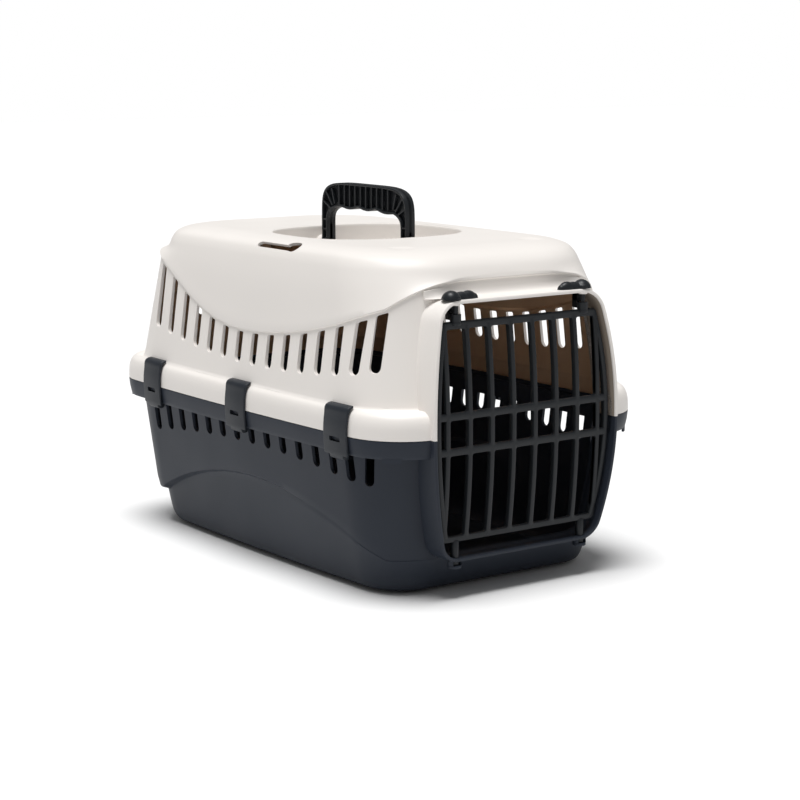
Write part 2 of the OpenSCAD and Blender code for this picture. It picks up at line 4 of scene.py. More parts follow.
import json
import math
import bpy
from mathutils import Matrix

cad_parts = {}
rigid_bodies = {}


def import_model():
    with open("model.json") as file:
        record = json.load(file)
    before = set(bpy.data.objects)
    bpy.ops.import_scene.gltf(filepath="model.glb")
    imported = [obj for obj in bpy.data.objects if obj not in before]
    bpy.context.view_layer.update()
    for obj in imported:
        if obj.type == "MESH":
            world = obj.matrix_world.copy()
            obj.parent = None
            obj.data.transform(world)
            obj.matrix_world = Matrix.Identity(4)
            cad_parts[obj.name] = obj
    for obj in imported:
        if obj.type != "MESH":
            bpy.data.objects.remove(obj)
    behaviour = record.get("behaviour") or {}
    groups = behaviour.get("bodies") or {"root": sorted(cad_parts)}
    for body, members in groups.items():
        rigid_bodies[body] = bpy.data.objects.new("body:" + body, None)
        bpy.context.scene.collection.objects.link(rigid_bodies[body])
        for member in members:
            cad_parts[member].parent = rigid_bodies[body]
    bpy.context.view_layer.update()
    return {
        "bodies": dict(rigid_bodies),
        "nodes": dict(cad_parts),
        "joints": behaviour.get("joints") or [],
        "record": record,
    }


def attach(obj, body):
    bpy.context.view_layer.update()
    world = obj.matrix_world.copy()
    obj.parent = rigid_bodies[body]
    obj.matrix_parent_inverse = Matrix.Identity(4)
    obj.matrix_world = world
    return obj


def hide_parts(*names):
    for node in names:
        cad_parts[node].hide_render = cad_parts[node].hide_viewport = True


bl_info = {
    "name": "Plastic pet keeper",
    "version": (1, 0, 0),
    "blender": (4, 5, 0),
    "location": "View3D > Sidebar > Keeper",
    "description": "Builds a small two-shell pet carrier with door, latches, handle and clips",
    "category": "Object",
}

import bpy
import numpy as np
from mathutils import Matrix, Vector

FRAME = {}


# ---------------------------------------------------------------- properties


def length(name, description, default):
    return bpy.props.FloatProperty(
        name=name, description=description, default=default, min=0.0, precision=4, unit="LENGTH"
    )


def colour(name, description, default):
    return bpy.props.FloatVectorProperty(
        name=name, description=description, default=default, min=0.0, max=1.0, size=3, subtype="COLOR"
    )


class KeeperBody(bpy.types.PropertyGroup):
    body_l: length("Length", "Front of the collar to the rear rim", 0.460)
    body_w: length("Width", "Width across the rim", 0.289)
    parting_z: length("Joint height", "Height of the joint between the shells", 0.1363)
    roof_z: length("Roof height", "Height of the flat of the roof", 0.282)
    wall: length("Wall", "Wall thickness of both shells", 0.0026)
    slot_w: length("Slot width", "Width of one vent slot", 0.010)
    slot_pitch: length("Slot pitch", "Distance from slot to slot", 0.0243)
    slots: bpy.props.IntProperty(name="Slots", description="Slots along each side", default=15, min=1)
    rear_slots: bpy.props.IntProperty(name="Rear slots", description="Slots across the rear", default=7, min=1)
    arch_d: length("Arch depth", "Depth of the arched panel in the base", 0.003)
    cap_proud: length("Cap lip", "How far the cap stands proud of the wall", 0.0015)


class KeeperDoor(bpy.types.PropertyGroup):
    bars: bpy.props.IntProperty(name="Bars", description="Upright bars of the door", default=8, min=2)
    bar_pitch: length("Bar pitch", "Distance from bar to bar", 0.0227)
    bar_w: length("Bar width", "Width of an upright bar", 0.0044)
    stile_w: length("Stile width", "Width of the curved stiles", 0.0046)
    rail_h: length("Rail height", "Height of the rails", 0.006)
    depth: length("Depth", "Depth of the bars", 0.005)


class KeeperHandle(bpy.types.PropertyGroup):
    span: length("Span", "Length over the legs", 0.131)
    height: length("Height", "Height above the pins", 0.0565)
    thick: length("Thickness", "Thickness of the handle", 0.010)
    leg_w: length("Leg width", "Width of a leg", 0.0085)
    grip_h: length("Grip height", "Height of the grip at its middle", 0.022)
    rib_pitch: length("Rib pitch", "Distance from rib to rib", 0.0084)


class KeeperLooks(bpy.types.PropertyGroup):
    cream: colour("Cream plastic", "Colour of the top shell", (0.88, 0.84, 0.80))
    # Painted shade: the top shell's inner faces and the well tub's outer side are the same cream plastic, coloured
    # brown to stand in for the shade inside.
    cream_inside_painted_shade: colour("Cream plastic inside", "Colour of the top shell's inner face", (0.62, 0.41, 0.26))
    # Painted shade: the collar's inner face is the same cream plastic, coloured darker for the shade that falls
    # there.
    cream_collar_painted_shade: colour("Cream plastic, collar", "Colour of the collar's inner face", (0.34, 0.285, 0.235))
    slate: colour("Slate plastic", "Colour of the base", (0.026, 0.032, 0.045))
    door: colour("Door plastic", "Colour of door, knobs and handle", (0.0145, 0.017, 0.020))
    clip: colour("Clip plastic", "Colour of the side clips", (0.020, 0.024, 0.031))
    grain: bpy.props.FloatProperty(name="Grain", description="Strength of the moulded grain", default=0.12, min=0.0)


GROUPS = {
    "keeper_body": KeeperBody,
    "keeper_door": KeeperDoor,
    "keeper_handle": KeeperHandle,
    "keeper_looks": KeeperLooks,
}


def part(name):
    return getattr(bpy.context.scene, name)


def mm(value):
    return value * 1000.0


# ------------------------------------------------------------ shared measures
# All lengths below are in millimetres, in the frame of the CAD part.

RIM_R = 52.0  # corner radius of the rim
RIM_BOW, BOW_LEN = 4.3, 187.0  # the long sides bow in by this much over this length
SIDE_Y = -16.0  # the widest station of the sides
SHOULDER = 22.0  # top of the rim above the joint
SKIRT = 15.3  # foot of the skirt below the joint
SIDE_SET, LOW_SET = 7.0, 4.8  # upper and lower wall inside the rim
END_MORE = 7.6  # the end walls stand this much further in
LEAN = 0.13  # slope of the walls
WALL_R, WALL_IN_R = (62, 62), (60, 60)  # wall corner radii, outside and inside
CAP_R, CAP_IN_R = (76, 76), (74, 74)  # the cap's, along its lip
CREASE_H = 67.9  # lowest point of the swept crease above the joint

SIDE_R, SIDE_CZ = 380.0, 142.4  # bow of the collar's sides and its centre height
COLLAR_HW, COLLAR_T = 97.5, 3.2  # half width and thickness of the collar
# COLLAR_INNER picks the face of the collar's section that is coloured with painted shade.
COLLAR_N, COLLAR_INNER = 10, 7  # faces round the collar's section; the one in shade
MOUTH_CUT = (-240, -184)  # reach of the cut for the mouth along Y
SILL_Z, LEDGE_Z = 31.5, 246.0
BOW_R, BOW_Z = 640.0, 134.7  # forward bow of collar and door

DOOR_T0, DOOR_Z0, DOOR_Z1 = 6.5, 47.9, 228.6  # the door's inset, foot and top
DOOR_SET = 5.1  # the door behind the collar's edge
RAILS = (152.6, 123.7)  # heights of the two middle rails
PIVOT_X = 67.1
HANDLE_Y = 0.0
WELL_L, WELL_W, WELL_FLOOR = 146.0, 162.0, 258.0
WELL_POWER = 2.6  # how square the well's oval is
HANDLE_UP = 41.5  # top of the raised handle above the roof
HANDLE_FOOT = -6.0  # end of a leg below the pins
LOBE, LOBE_Y = 27.0, 5.5  # length and shift of the finger lobes

SLOT_MID = -19.8  # middle of the row of side slots
CORNER_SLOT = -178.0  # a slot further forward than this stands on the corner
CORNER_AT, CORNER_TURN = (122.5, -183.5), 33
KEY_AT, KEY_TILT, KEY_TURN = (115, -28, -5), 38, 17  # strap keyhole, from the roof
DISH_AT, DISH_R, DISH_D = (70, -148), 60.0, 1.2

PIN_U, PIN_DROP, KNUCKLE = -3.6, 2.9, 2.3  # a clip's pin, from rim line and skirt
CLIP_Y, CLIP_STEP = -7.7, 149.8  # the middle clip and the step to its neighbours

ROOM_LIGHT, KEY_LIGHT = 0.22, 3.25
KEY_FROM, KEY_SPREAD = (-0.12, -0.03, 1.0), 30
FLOOR_HALF, FLOOR_BOUNCE, FLOOR_SHOWN = 9000, 0.80, 0.93
CAMERA_LENS, CAMERA_AT, CAMERA_TURN = 94.1, (-1.0813, -1.5300, 0.4506), (80.23, 0, -36.15)

# Insets (side, front, rear), corner radii (front, rear) and height or depth of
# the rows of each loft. CAP_ROWS adds how the inner face is offset.
CAP_ROWS = [
    ((22.0, 27.6, 27.8), (76, 76), 19.0, (1.0, 0.25)),
    ((24.4, 32.2, 31.3), (74, 75), 11.5, (0.9, 0.5)),
    ((27.5, 39.0, 36.5), (70, 72), 6.0, (0.65, 0.8)),
    ((33.0, 49.0, 43.0), (66, 68), 2.6, (0.35, 0.95)),
    ((41.0, 61.0, 52.0), (60, 62), 0.7, (0.1, 1.0)),
]
ROOF_ROWS = [((72, 90, 86), (50, 50)), ((100, 130, 122), (30, 30))]
BASE_MID = ((60, 70, 70), (30, 30))
BASE_FOOT = [
    ((36, 41, 44), (34, 44), 2.5),
    ((31.5, 37, 39), (38, 48), 4.1),
    ((28.4, 34, 36), (42, 50), 8.5),
    ((26, 31.5, 33.5), (46, 53), 15.5),
]
BASE_INSIDE = [((28.6, 34.1, 36.1), (44, 51), 15.5), ((31.4, 37, 39), (40, 48), 9.5)]


class Shell:
    """The shells' rules, with the stations round the plan."""

    def __init__(self, n_end=10, n_cor=22, n_side=56):
        b = part("keeper_body")
        self.half_l = mm(b.body_l) / 2
        self.half_w = mm(b.body_w) / 2
        self.z0 = mm(b.parting_z)
        self.roof = mm(b.roof_z)
        self.wall = mm(b.wall)
        self.front_y = -(self.half_l - 4)
        self.rear_y = self.half_l
        self.ledge_top = self.z0 + SHOULDER
        self.n = (n_end, n_cor, n_side)

    def rim_x(self, y):
        return self.half_w - RIM_BOW * ((y - SIDE_Y) / BOW_LEN) ** 2

    def plan(self, inset, radii):
        """Points and outward directions of one outline; inset is side, front, rear."""
        n_end, n_cor, n_side = self.n
        side, front, rear = inset
        rf, rr = radii
        yf, yr = self.front_y + front, self.rear_y - rear
        xf = self.rim_x(yf + rf) - side - rf
        xr = self.rim_x(yr - rr) - side - rr
        pts = [(xf * k / n_end, yf, 0.0, -1.0) for k in range(n_end)]
        for k in range(n_cor + 1):
            a = math.radians(-90 + 90 * k / n_cor)
            pts.append((xf + rf * math.cos(a), yf + rf + rf * math.sin(a), math.cos(a), math.sin(a)))
        for k in range(1, n_side):
            y = yf + rf + (yr - rr - yf - rf) * k / n_side
            pts.append((self.rim_x(y) - side, y, 1.0, 0.0))
        for k in range(n_cor + 1):
            a = math.radians(90 * k / n_cor)
            pts.append((xr + rr * math.cos(a), yr - rr + rr * math.sin(a), math.cos(a), math.sin(a)))
        for k in range(1, n_end + 1):
            pts.append((xr * (1 - k / n_end), yr, 0.0, 1.0))
        half = np.array(pts)
        other = half[-2:0:-1] * np.array([-1, 1, -1, 1])
        return np.vstack([half, other])

    def level(self, inset, radii, z):
        p = self.plan(inset, radii)
        return np.column_stack([p[:, 0], p[:, 1], np.full(len(p), float(z))])

    def even(self, inset, z, r=RIM_R):
        return self.level((inset,) * 3, (r, r), z)

    def leaned(self, p, z, d):
        return np.column_stack([p[:, 0] - p[:, 2] * d, p[:, 1] - p[:, 3] * d, z])

    def swoosh(self, x, y):
        x, y = np.asarray(x, float), np.asarray(y, float)
        s = np.where(y < 0, 0.00098, 0.0022) * y * y
        brow = 13.5 * np.clip(1 - (np.abs(x) / 118) ** 4, 0, None) * np.clip((-120 - y) / 60, 0, 1)
        return self.z0 + CREASE_H + s / (1 + (s / 56) ** 4) ** 0.25 + np.where(y < -120, brow, 0)

    def crease(self, inset, radii, dz):
        p = self.plan(inset, radii)
        z = self.swoosh(p[:, 0], p[:, 1]) + dz
        return self.leaned(p, z, LEAN * (z - self.ledge_top))

    def arched(self, inset, radii, dz, pressed):
        p = self.plan(inset, radii)
        z = np.maximum(33, 75.3 - 0.0013 * (p[:, 1] + 13) ** 2) + dz
        depth = mm(part("keeper_body").arch_d) * np.clip((p[:, 1] + 110) / 100, 0, 1)
        depth = depth + 5.0 * np.clip((p[:, 1] + 10) / 170, 0, 1)
        return self.leaned(p, z, LEAN * (self.z0 - z) + pressed * depth)


def ins(side, more=0.0):
    return (side + more, side + END_MORE + more, side + END_MORE + more)


def grow(inset, by):
    return tuple(v + by for v in inset)


def smooth_rows(rows, parts):
    """Rows run through by a smooth curve at every station."""
    rows = np.array(rows)
    step = np.maximum(np.linalg.norm(np.diff(rows, axis=0), axis=2), 1e-6)[..., None]
    slope = np.diff(rows, axis=0) / step
    tangent = np.empty_like(rows)
    tangent[0], tangent[-1] = slope[0], slope[-1]
    for k in range(1, len(rows) - 1):
        a, b = step[k - 1], step[k]
        tangent[k] = (slope[k] * a + slope[k - 1] * b) / (a + b)
    out = [rows[0]]
    for k in range(len(rows) - 1):
        for j in range(1, parts[k] + 1):
            t = j / parts[k]
            t2, t3 = t * t, t * t * t
            out.append(
                (2 * t3 - 3 * t2 + 1) * rows[k]
                + (t3 - 2 * t2 + t) * step[k] * tangent[k]
                + (-2 * t3 + 3 * t2) * rows[k + 1]
                + (t3 - t2) * step[k] * tangent[k + 1]
            )
    return out


def straight_rows(a, b, count):
    return [a + (b - a) * k / count for k in range(1, count + 1)]


def loft(rows, inner_from=None):
    """A closed skin through the rows; faces from row inner_from on take slot 1."""
    n, m = len(rows[0]), len(rows)
    verts = np.vstack(rows)
    first = [0.0, (rows[0][0][1] + rows[0][n // 2][1]) / 2, rows[0][0][2]]
    last = [0.0, first[1], rows[-1][0][2]]
    verts = np.vstack([verts, first, last])
    inner = 0 if inner_from is None else 1
    faces = [(m * n, k, (k + 1) % n) for k in range(n)] + bands(m, n, turn=True)
    faces += [(m * n + 1, (m - 1) * n + (k + 1) % n, (m - 1) * n + k) for k in range(n)]
    slots = [0] * n
    for j in range(m - 1):
        slots += [inner if j >= (inner_from or 0) else 0] * n
    return verts, faces, slots + [inner] * n


# -------------------------------------------------------------- mesh helpers


def bands(rings, n, wrap=False, turn=False):
    """Quads between rings of n points each; turn starts each quad up the ring's side."""
    faces = []
    for j in range(rings if wrap else rings - 1):
        i = (j + 1) % rings
        for k in range(n):
            q = (k + 1) % n
            a, b, c, d = j * n + k, j * n + q, i * n + q, i * n + k
            faces.append((a, d, c, b) if turn else (a, b, c, d))
    return faces


def ends(rings, n):
    """The caps of a body of rings with n points each."""
    last = (rings - 1) * n
    return [tuple(range(n - 1, -1, -1)), tuple(range(last, last + n))]


def soft(lo, hi, e):
    """(shrink, place) of the rings that soften both ends of a body by e."""
    return [(e, lo), (e * 0.3, lo + e * 0.3), (0, lo + e), (0, hi - e), (e * 0.3, hi - e * 0.3), (e, hi)]


def flipped(faces):
    return [tuple(f)[::-1] for f in faces]


def signed_area(p):
    return 0.5 * np.sum(p[:, 0] * np.roll(p[:, 1], -1) - np.roll(p[:, 0], -1) * p[:, 1])


def moved(matrix, verts):
    return np.array([matrix @ Vector(p) for p in verts])


def new_object(name, verts, faces, slots=None, materials=(), sharp=35):
    me = bpy.data.meshes.new(name)
    me.from_pydata((np.asarray(verts, float) * 0.001).tolist(), [], [tuple(int(i) for i in f) for f in faces])
    for m in materials:
        me.materials.append(m)
    if slots is not None:
        me.polygons.foreach_set("material_index", np.array(slots, np.int32))
    me.update()
    shade(me, sharp)
    ob = bpy.data.objects.new(name, me)
    bpy.context.scene.collection.objects.link(ob)
    return ob


def shade(me, sharp=35):
    me.polygons.foreach_set("use_smooth", np.ones(len(me.polygons), bool))
    me.set_sharp_from_angle(angle=math.radians(sharp))


def applied(ob):
    """The object's mesh with its modifiers worked in and taken off."""
    dg = bpy.context.evaluated_depsgraph_get()
    me = bpy.data.meshes.new_from_object(ob.evaluated_get(dg), preserve_all_data_layers=True, depsgraph=dg)
    ob.modifiers.clear()
    old = ob.data
    ob.data = me
    me.name = old.name
    bpy.data.meshes.remove(old)
    return ob


def remove(ob):
    me = ob.data
    bpy.data.objects.remove(ob)
    bpy.data.meshes.remove(me)


def cut(ob, mesh, paint=None):
    """Cuts (verts, faces) out of the object; the cut faces take the paint."""
    cutter = new_object("cutter", *mesh, None, (paint,) if paint else ())
    mod = ob.modifiers.new("cut", "BOOLEAN")
    mod.operation, mod.solver, mod.object = "DIFFERENCE", "MANIFOLD", cutter
    applied(ob)
    remove(cutter)


def joined(name, objects, sharp=35):
    """One object from several, with their materials kept."""
    mats, verts, faces, slots, base = [], [], [], [], 0
    for ob in objects:
        me = ob.data
        co = np.zeros(len(me.vertices) * 3)
        me.vertices.foreach_get("co", co)
        verts.append(co.reshape(-1, 3) * 1000)
        index = []
        for m in me.materials:
            if m not in mats:
                mats.append(m)
            index.append(mats.index(m))
        for p in me.polygons:
            faces.append([v + base for v in p.vertices])
            slots.append(index[p.material_index] if index else 0)
        base += len(me.vertices)
    for ob in objects:
        remove(ob)
    return new_object(name, np.vstack(verts), faces, slots, mats, sharp)


def prism(points, axis, lo, hi):
    """A closed prism from a counter-clockwise outline, run along an axis."""
    n = len(points)
    p = np.array(points, float)
    if signed_area(p) < 0:
        p = p[::-1]

    def place(h):
        c = np.full(n, float(h))
        if axis == "x":
            return np.column_stack([c, p[:, 0], p[:, 1]])
        if axis == "y":
            return np.column_stack([p[:, 0], c, p[:, 1]])
        return np.column_stack([p[:, 0], p[:, 1], c])

    verts = np.vstack([place(lo), place(hi)])
    faces = ends(2, n) + bands(2, n)
    return verts, flipped(faces) if axis == "y" else faces


def gather(items):
    """Several (verts, faces) as one."""
    verts, faces, base = [], [], 0
    for v, f in items:
        verts.append(np.asarray(v, float))
        faces += [tuple(i + base for i in g) for g in f]
        base += len(v)
    return np.vstack(verts), faces


def arc(cx, cy, r, a0, a1, n):
    turns = [math.radians(a0 + (a1 - a0) * k / n) for k in range(n + 1)]
    return [(cx + r * math.cos(a), cy + r * math.sin(a)) for a in turns]


def sweep(path, section, side, closed=False):
    """A section swept along a path. side gives the section's first axis at each point."""
    path = np.asarray(path, float)
    n, m = len(path), len(section)
    verts = []
    for k in range(n):
        if closed:
            d = path[(k + 1) % n] - path[k - 1]
        else:
            d = path[min(k + 1, n - 1)] - path[max(k - 1, 0)]
        d = d / np.linalg.norm(d)
        u = np.asarray(side(k) if callable(side) else side, float)
        u = u - d * np.dot(u, d)
        u /= np.linalg.norm(u)
        v = np.cross(d, u)
        verts += [path[k] + u * s[0] + v * s[1] for s in section]
    faces = bands(n, m, wrap=closed)
    return np.array(verts), faces if closed else faces + ends(n, m)


def shifted(points, dx, dy):
    return [(x + dx, y + dy) for x, y in points]


def rounded_rect(w, h, r, n=3):
    x, y = w / 2 - r, h / 2 - r
    corners = ((x, -y, -90), (x, y, 0), (-x, y, 90), (-x, -y, 180))
    return [point for cx, cy, a in corners for point in arc(cx, cy, r, a, a + 90, n)]


def turned_solid(profile, n=32, at=(0, 0, 0), axis="z"):
    """A solid of revolution from (radius, height) pairs, first and last on the axis."""
    verts, faces = [], []
    rings = profile[1:-1]
    for r, h in rings:
        for k in range(n):
            a = 2 * math.pi * k / n
            verts.append((r * math.cos(a), r * math.sin(a), h))
    verts += [(0, 0, profile[0][1]), (0, 0, profile[-1][1])]
    for k in range(n):
        faces.append((len(rings) * n, (k + 1) % n, k))
        faces.append((len(rings) * n + 1, (len(rings) - 1) * n + k, (len(rings) - 1) * n + (k + 1) % n))
    faces += bands(len(rings), n)
    v = np.array(verts)
    if axis == "y":
        v = v[:, [0, 2, 1]] * np.array([1, 1, -1])
    return v + np.array(at, float), faces


def rod(r, lo, hi, at=(0, 0, 0), axis="z", edge=0.4, n=32):
    profile = [(0, lo)] + [(r - g, h) for g, h in soft(lo, hi, edge)] + [(0, hi)]
    return turned_solid(profile, n, at, axis)


# ------------------------------------------------------------ geometry nodes


class Tree:
    """A small helper that builds one geometry node tree."""

    def __init__(self, name, inputs):
        self.tree = bpy.data.node_groups.new(name, "GeometryNodeTree")
        face = self.tree.interface
        face.new_socket("Geometry", in_out="INPUT", socket_type="NodeSocketGeometry")
        self.ids = {}
        for label, kind, default in inputs:
            s = face.new_socket(label, in_out="INPUT", socket_type=kind)
            if default is not None:
                s.default_value = default
            self.ids[label] = s.identifier
        face.new_socket("Geometry", in_out="OUTPUT", socket_type="NodeSocketGeometry")
        self.ins = self.node("NodeGroupInput")
        self.out = self.node("NodeGroupOutput")

    def node(self, kind, **settings):
        n = self.tree.nodes.new(kind)
        for key, value in settings.items():
            setattr(n, key, value)
        return n

    def link(self, a, b):
        self.tree.links.new(a, b)

    def math(self, op, a, b):
        n = self.node("ShaderNodeMath", operation=op)
        for k, v in enumerate((a, b)):
            if isinstance(v, (int, float)):
                n.inputs[k].default_value = v
            else:
                self.link(v, n.inputs[k])
        return n.outputs[0]


def finish_tree(t, geometry):
    """Ends a tree in real geometry with its material."""
    real = t.node("GeometryNodeRealizeInstances")
    paint = t.node("GeometryNodeSetMaterial")
    t.link(geometry, real.inputs["Geometry"])
    t.link(real.outputs["Geometry"], paint.inputs["Geometry"])
    t.link(t.ins.outputs["Material"], paint.inputs["Material"])
    t.link(paint.outputs["Geometry"], t.out.inputs[0])
    return t


def row_tree():
    """Repeats one piece in a straight row, centred, then bows the row about an X axis."""
    if "keeper_row" in FRAME:
        return FRAME["keeper_row"]
    t = Tree("keeper_row", [
        ("Piece", "NodeSocketObject", None), ("Count", "NodeSocketInt", 8),
        ("Step", "NodeSocketVector", (0.0227, 0.0, 0.0)), ("Bow radius", "NodeSocketFloat", 0.64),
        ("Bow height", "NodeSocketFloat", 0.1347), ("Material", "NodeSocketMaterial", None)])
    count, step = t.ins.outputs["Count"], t.ins.outputs["Step"]
    line = t.node("GeometryNodeMeshLine", mode="OFFSET")
    t.link(count, line.inputs["Count"])
    t.link(step, line.inputs["Offset"])
    start = t.node("ShaderNodeVectorMath", operation="SCALE")
    t.link(step, start.inputs[0])
    t.link(t.math("MULTIPLY", t.math("SUBTRACT", count, 1), -0.5), start.inputs["Scale"])
    t.link(start.outputs[0], line.inputs["Start Location"])
    info = t.node("GeometryNodeObjectInfo", transform_space="ORIGINAL")
    t.link(t.ins.outputs["Piece"], info.inputs["Object"])
    put = t.node("GeometryNodeInstanceOnPoints")
    t.link(line.outputs["Mesh"], put.inputs["Points"])
    t.link(info.outputs["Geometry"], put.inputs["Instance"])
    real = t.node("GeometryNodeRealizeInstances")
    t.link(put.outputs["Instances"], real.inputs["Geometry"])
    pos = t.node("GeometryNodeInputPosition")
    parts = t.node("ShaderNodeSeparateXYZ")
    t.link(pos.outputs[0], parts.inputs[0])
    dz = t.math("SUBTRACT", parts.outputs["Z"], t.ins.outputs["Bow height"])
    back = t.math("DIVIDE", t.math("MULTIPLY", dz, dz), t.math("MULTIPLY", t.ins.outputs["Bow radius"], 2.0))
    move = t.node("ShaderNodeCombineXYZ")
    t.link(back, move.inputs["Y"])
    bend = t.node("GeometryNodeSetPosition")
    t.link(real.outputs[0], bend.inputs["Geometry"])
    t.link(move.outputs[0], bend.inputs["Offset"])
    FRAME["keeper_row"] = finish_tree(t, bend.outputs[0])
    return FRAME["keeper_row"]


def row_of(name, piece, count, step, material, bow_r=1e6, bow_z=0.0):
    """The piece repeated by the row tree, as one plain mesh."""
    t = row_tree()
    ob = new_object(name, [(0, 0, 0)], [])
    mod = ob.modifiers.new("row", "NODES")
    mod.node_group = t.tree
    mod[t.ids["Piece"]] = piece
    mod[t.ids["Count"]] = int(count)
    mod[t.ids["Step"]] = [float(v) * 0.001 for v in step]
    mod[t.ids["Bow radius"]] = bow_r * 0.001
    mod[t.ids["Bow height"]] = bow_z * 0.001
    mod[t.ids["Material"]] = material
    bpy.context.view_layer.update()
    applied(ob)
    remove(piece)
    shade(ob.data)
    return ob


# ----------------------------------------------------------------- materials


def effect_group(name, inputs, outputs, build):
    """A shader node group, built once and shared by the plastics."""
    found = bpy.data.node_groups.get(name)
    if found:
        return found
    g = bpy.data.node_groups.new(name, "ShaderNodeTree")
    for label, kind, default in inputs:
        s = g.interface.new_socket(label, in_out="INPUT", socket_type=kind)
        s.default_value = default
    for label, kind in outputs:
        g.interface.new_socket(label, in_out="OUTPUT", socket_type=kind)
    build(g, g.nodes.new("NodeGroupInput"), g.nodes.new("NodeGroupOutput"))
    return g


def added(nodes, kind, values=None, **settings):
    """A new node with its settings and the values of its sockets."""
    n = nodes.new(kind)
    for key, value in settings.items():
        setattr(n, key, value)
    for key, value in (values or {}).items():
        n.inputs[key].default_value = value
    return n


def build_grain(g, i, o):
    """Fine moulded grain with a faint sink-mark waviness under it."""
    nodes, link = g.nodes, g.links.new
    coords = added(nodes, "ShaderNodeTexCoord")
    fine = added(nodes, "ShaderNodeTexNoise", {"Scale": 1500.0, "Detail": 2.0})
    wave = added(nodes, "ShaderNodeTexNoise", {"Scale": 22.0, "Detail": 1.0})
    slow = added(nodes, "ShaderNodeBump", {"Distance": 0.0006})
    quick = added(nodes, "ShaderNodeBump", {"Distance": 0.00012})
    for noise, bump, strength in ((wave, slow, "Waviness"), (fine, quick, "Grain")):
        link(coords.outputs["Object"], noise.inputs["Vector"])
        link(i.outputs[strength], bump.inputs["Strength"])
        link(noise.outputs["Fac"], bump.inputs["Height"])
    link(slow.outputs["Normal"], quick.inputs["Normal"])
    link(quick.outputs["Normal"], o.inputs["Normal"])
    mid = added(nodes, "ShaderNodeMath", operation="MULTIPLY_ADD")
    sources = (wave.outputs["Fac"], i.outputs["Roughness spread"], i.outputs["Roughness"])
    for k, source in enumerate(sources):
        link(source, mid.inputs[k])
    link(mid.outputs[0], o.inputs["Roughness"])


def build_tone(g, i, o):
    """Slow changes of tone from the melt's flow."""
    nodes, link = g.nodes, g.links.new
    coords = added(nodes, "ShaderNodeTexCoord")
    flow = added(nodes, "ShaderNodeTexNoise", {"Scale": 7.0, "Detail": 3.0})
    link(coords.outputs["Object"], flow.inputs["Vector"])
    ramp = added(nodes, "ShaderNodeMapRange", {"From Min": 0.3, "From Max": 0.7})
    link(flow.outputs["Fac"], ramp.inputs["Value"])
    share = added(nodes, "ShaderNodeMath", operation="MULTIPLY")
    link(ramp.outputs["Result"], share.inputs[0])
    link(i.outputs["Amount"], share.inputs[1])
    mix = added(nodes, "ShaderNodeMix", data_type="RGBA")
    link(share.outputs[0], mix.inputs["Factor"])
    link(i.outputs["Colour"], mix.inputs[6])
    link(i.outputs["Other tone"], mix.inputs[7])
    link(mix.outputs[2], o.inputs["Colour"])


FLOAT, COLOR, VECTOR = "NodeSocketFloat", "NodeSocketColor", "NodeSocketVector"
GRAIN_IN = [
    ("Grain", FLOAT, 0.1), ("Waviness", FLOAT, 0.05), ("Roughness", FLOAT, 0.4), ("Roughness spread", FLOAT, 0.1),
]
TONE_IN = [("Colour", COLOR, (0.8, 0.8, 0.8, 1)), ("Other tone", COLOR, (0.7, 0.7, 0.7, 1)), ("Amount", FLOAT, 0.5)]


def plastic(name, rgb, other, roughness, spread, grain, waviness, specular):
    """A moulded plastic; the shader stays in the material and takes the shared effects."""
    m = bpy.data.materials.new(name)
    m.use_nodes = True
    nodes, links = m.node_tree.nodes, m.node_tree.links
    bsdf = nodes["Principled BSDF"]
    bsdf.inputs["Specular IOR Level"].default_value = specular
    grain_out = [("Normal", VECTOR), ("Roughness", FLOAT)]
    g = added(nodes, "ShaderNodeGroup", node_tree=effect_group("moulded_grain", GRAIN_IN, grain_out, build_grain))
    values = {"Grain": grain, "Waviness": waviness, "Roughness": roughness, "Roughness spread": spread}
    for key, value in values.items():
        g.inputs[key].default_value = value
    c = added(nodes, "ShaderNodeGroup", node_tree=effect_group("flow_tone", TONE_IN, [("Colour", COLOR)], build_tone))
    for key, value in {"Colour": (*rgb, 1), "Other tone": (*other, 1), "Amount": 0.5}.items():
        c.inputs[key].default_value = value
    links.new(c.outputs["Colour"], bsdf.inputs["Base Color"])
    links.new(g.outputs["Normal"], bsdf.inputs["Normal"])
    links.new(g.outputs["Roughness"], bsdf.inputs["Roughness"])
    return m


# Colour property, other tone's share of it, roughness and its spread, grain's
# factor, waviness and specular level of each plastic.
PLASTICS = {
    "keeper_cream": ("cream", 0.95, 0.40, 0.08, 1, 0.10, 0.4),
    # painted shade: the cream shell's inner faces, brown for the shade inside
    "keeper_inside": ("cream_inside_painted_shade", 0.9, 0.52, 0.08, 1, 0.10, 0.3),
    # painted shade: the collar's inner face, darker for the shade that falls there
    "keeper_shade": ("cream_collar_painted_shade", 0.9, 0.52, 0.08, 1, 0.10, 0.3),
    "keeper_slate": ("slate", 0.86, 0.40, 0.1, 2, 0.12, 0.22),
    "keeper_door_plastic": ("door", 0.85, 0.34, 0.1, 2, 0.12, 0.3),
    "keeper_clip": ("clip", 0.85, 0.38, 0.1, 2, 0.1, 0.3),
}


def material(name):
    found = bpy.data.materials.get(name)
    if found:
        return found
    looks = part("keeper_looks")
    key, other, roughness, spread, grain, waviness, specular = PLASTICS[name]
    rgb = tuple(getattr(looks, key))
    tone = tuple(v * other for v in rgb)
    return plastic(name, rgb, tone, roughness, spread, looks.grain * grain, waviness, specular)


# -------------------------------------------------------------------- shells


def bow_y(z, back=0.0):
    return -mm(part("keeper_body").body_l) / 2 + back + (z - BOW_Z) ** 2 / (2 * BOW_R)


def front_wall(z):
    b = part("keeper_body")
    z0 = mm(b.parting_z)
    base = -(mm(b.body_l) / 2 - 4) + SIDE_SET + END_MORE
    if z > z0:
        return base + LEAN * (z - z0 - SHOULDER)
    return base - 2.2 + LEAN * (z0 - z)


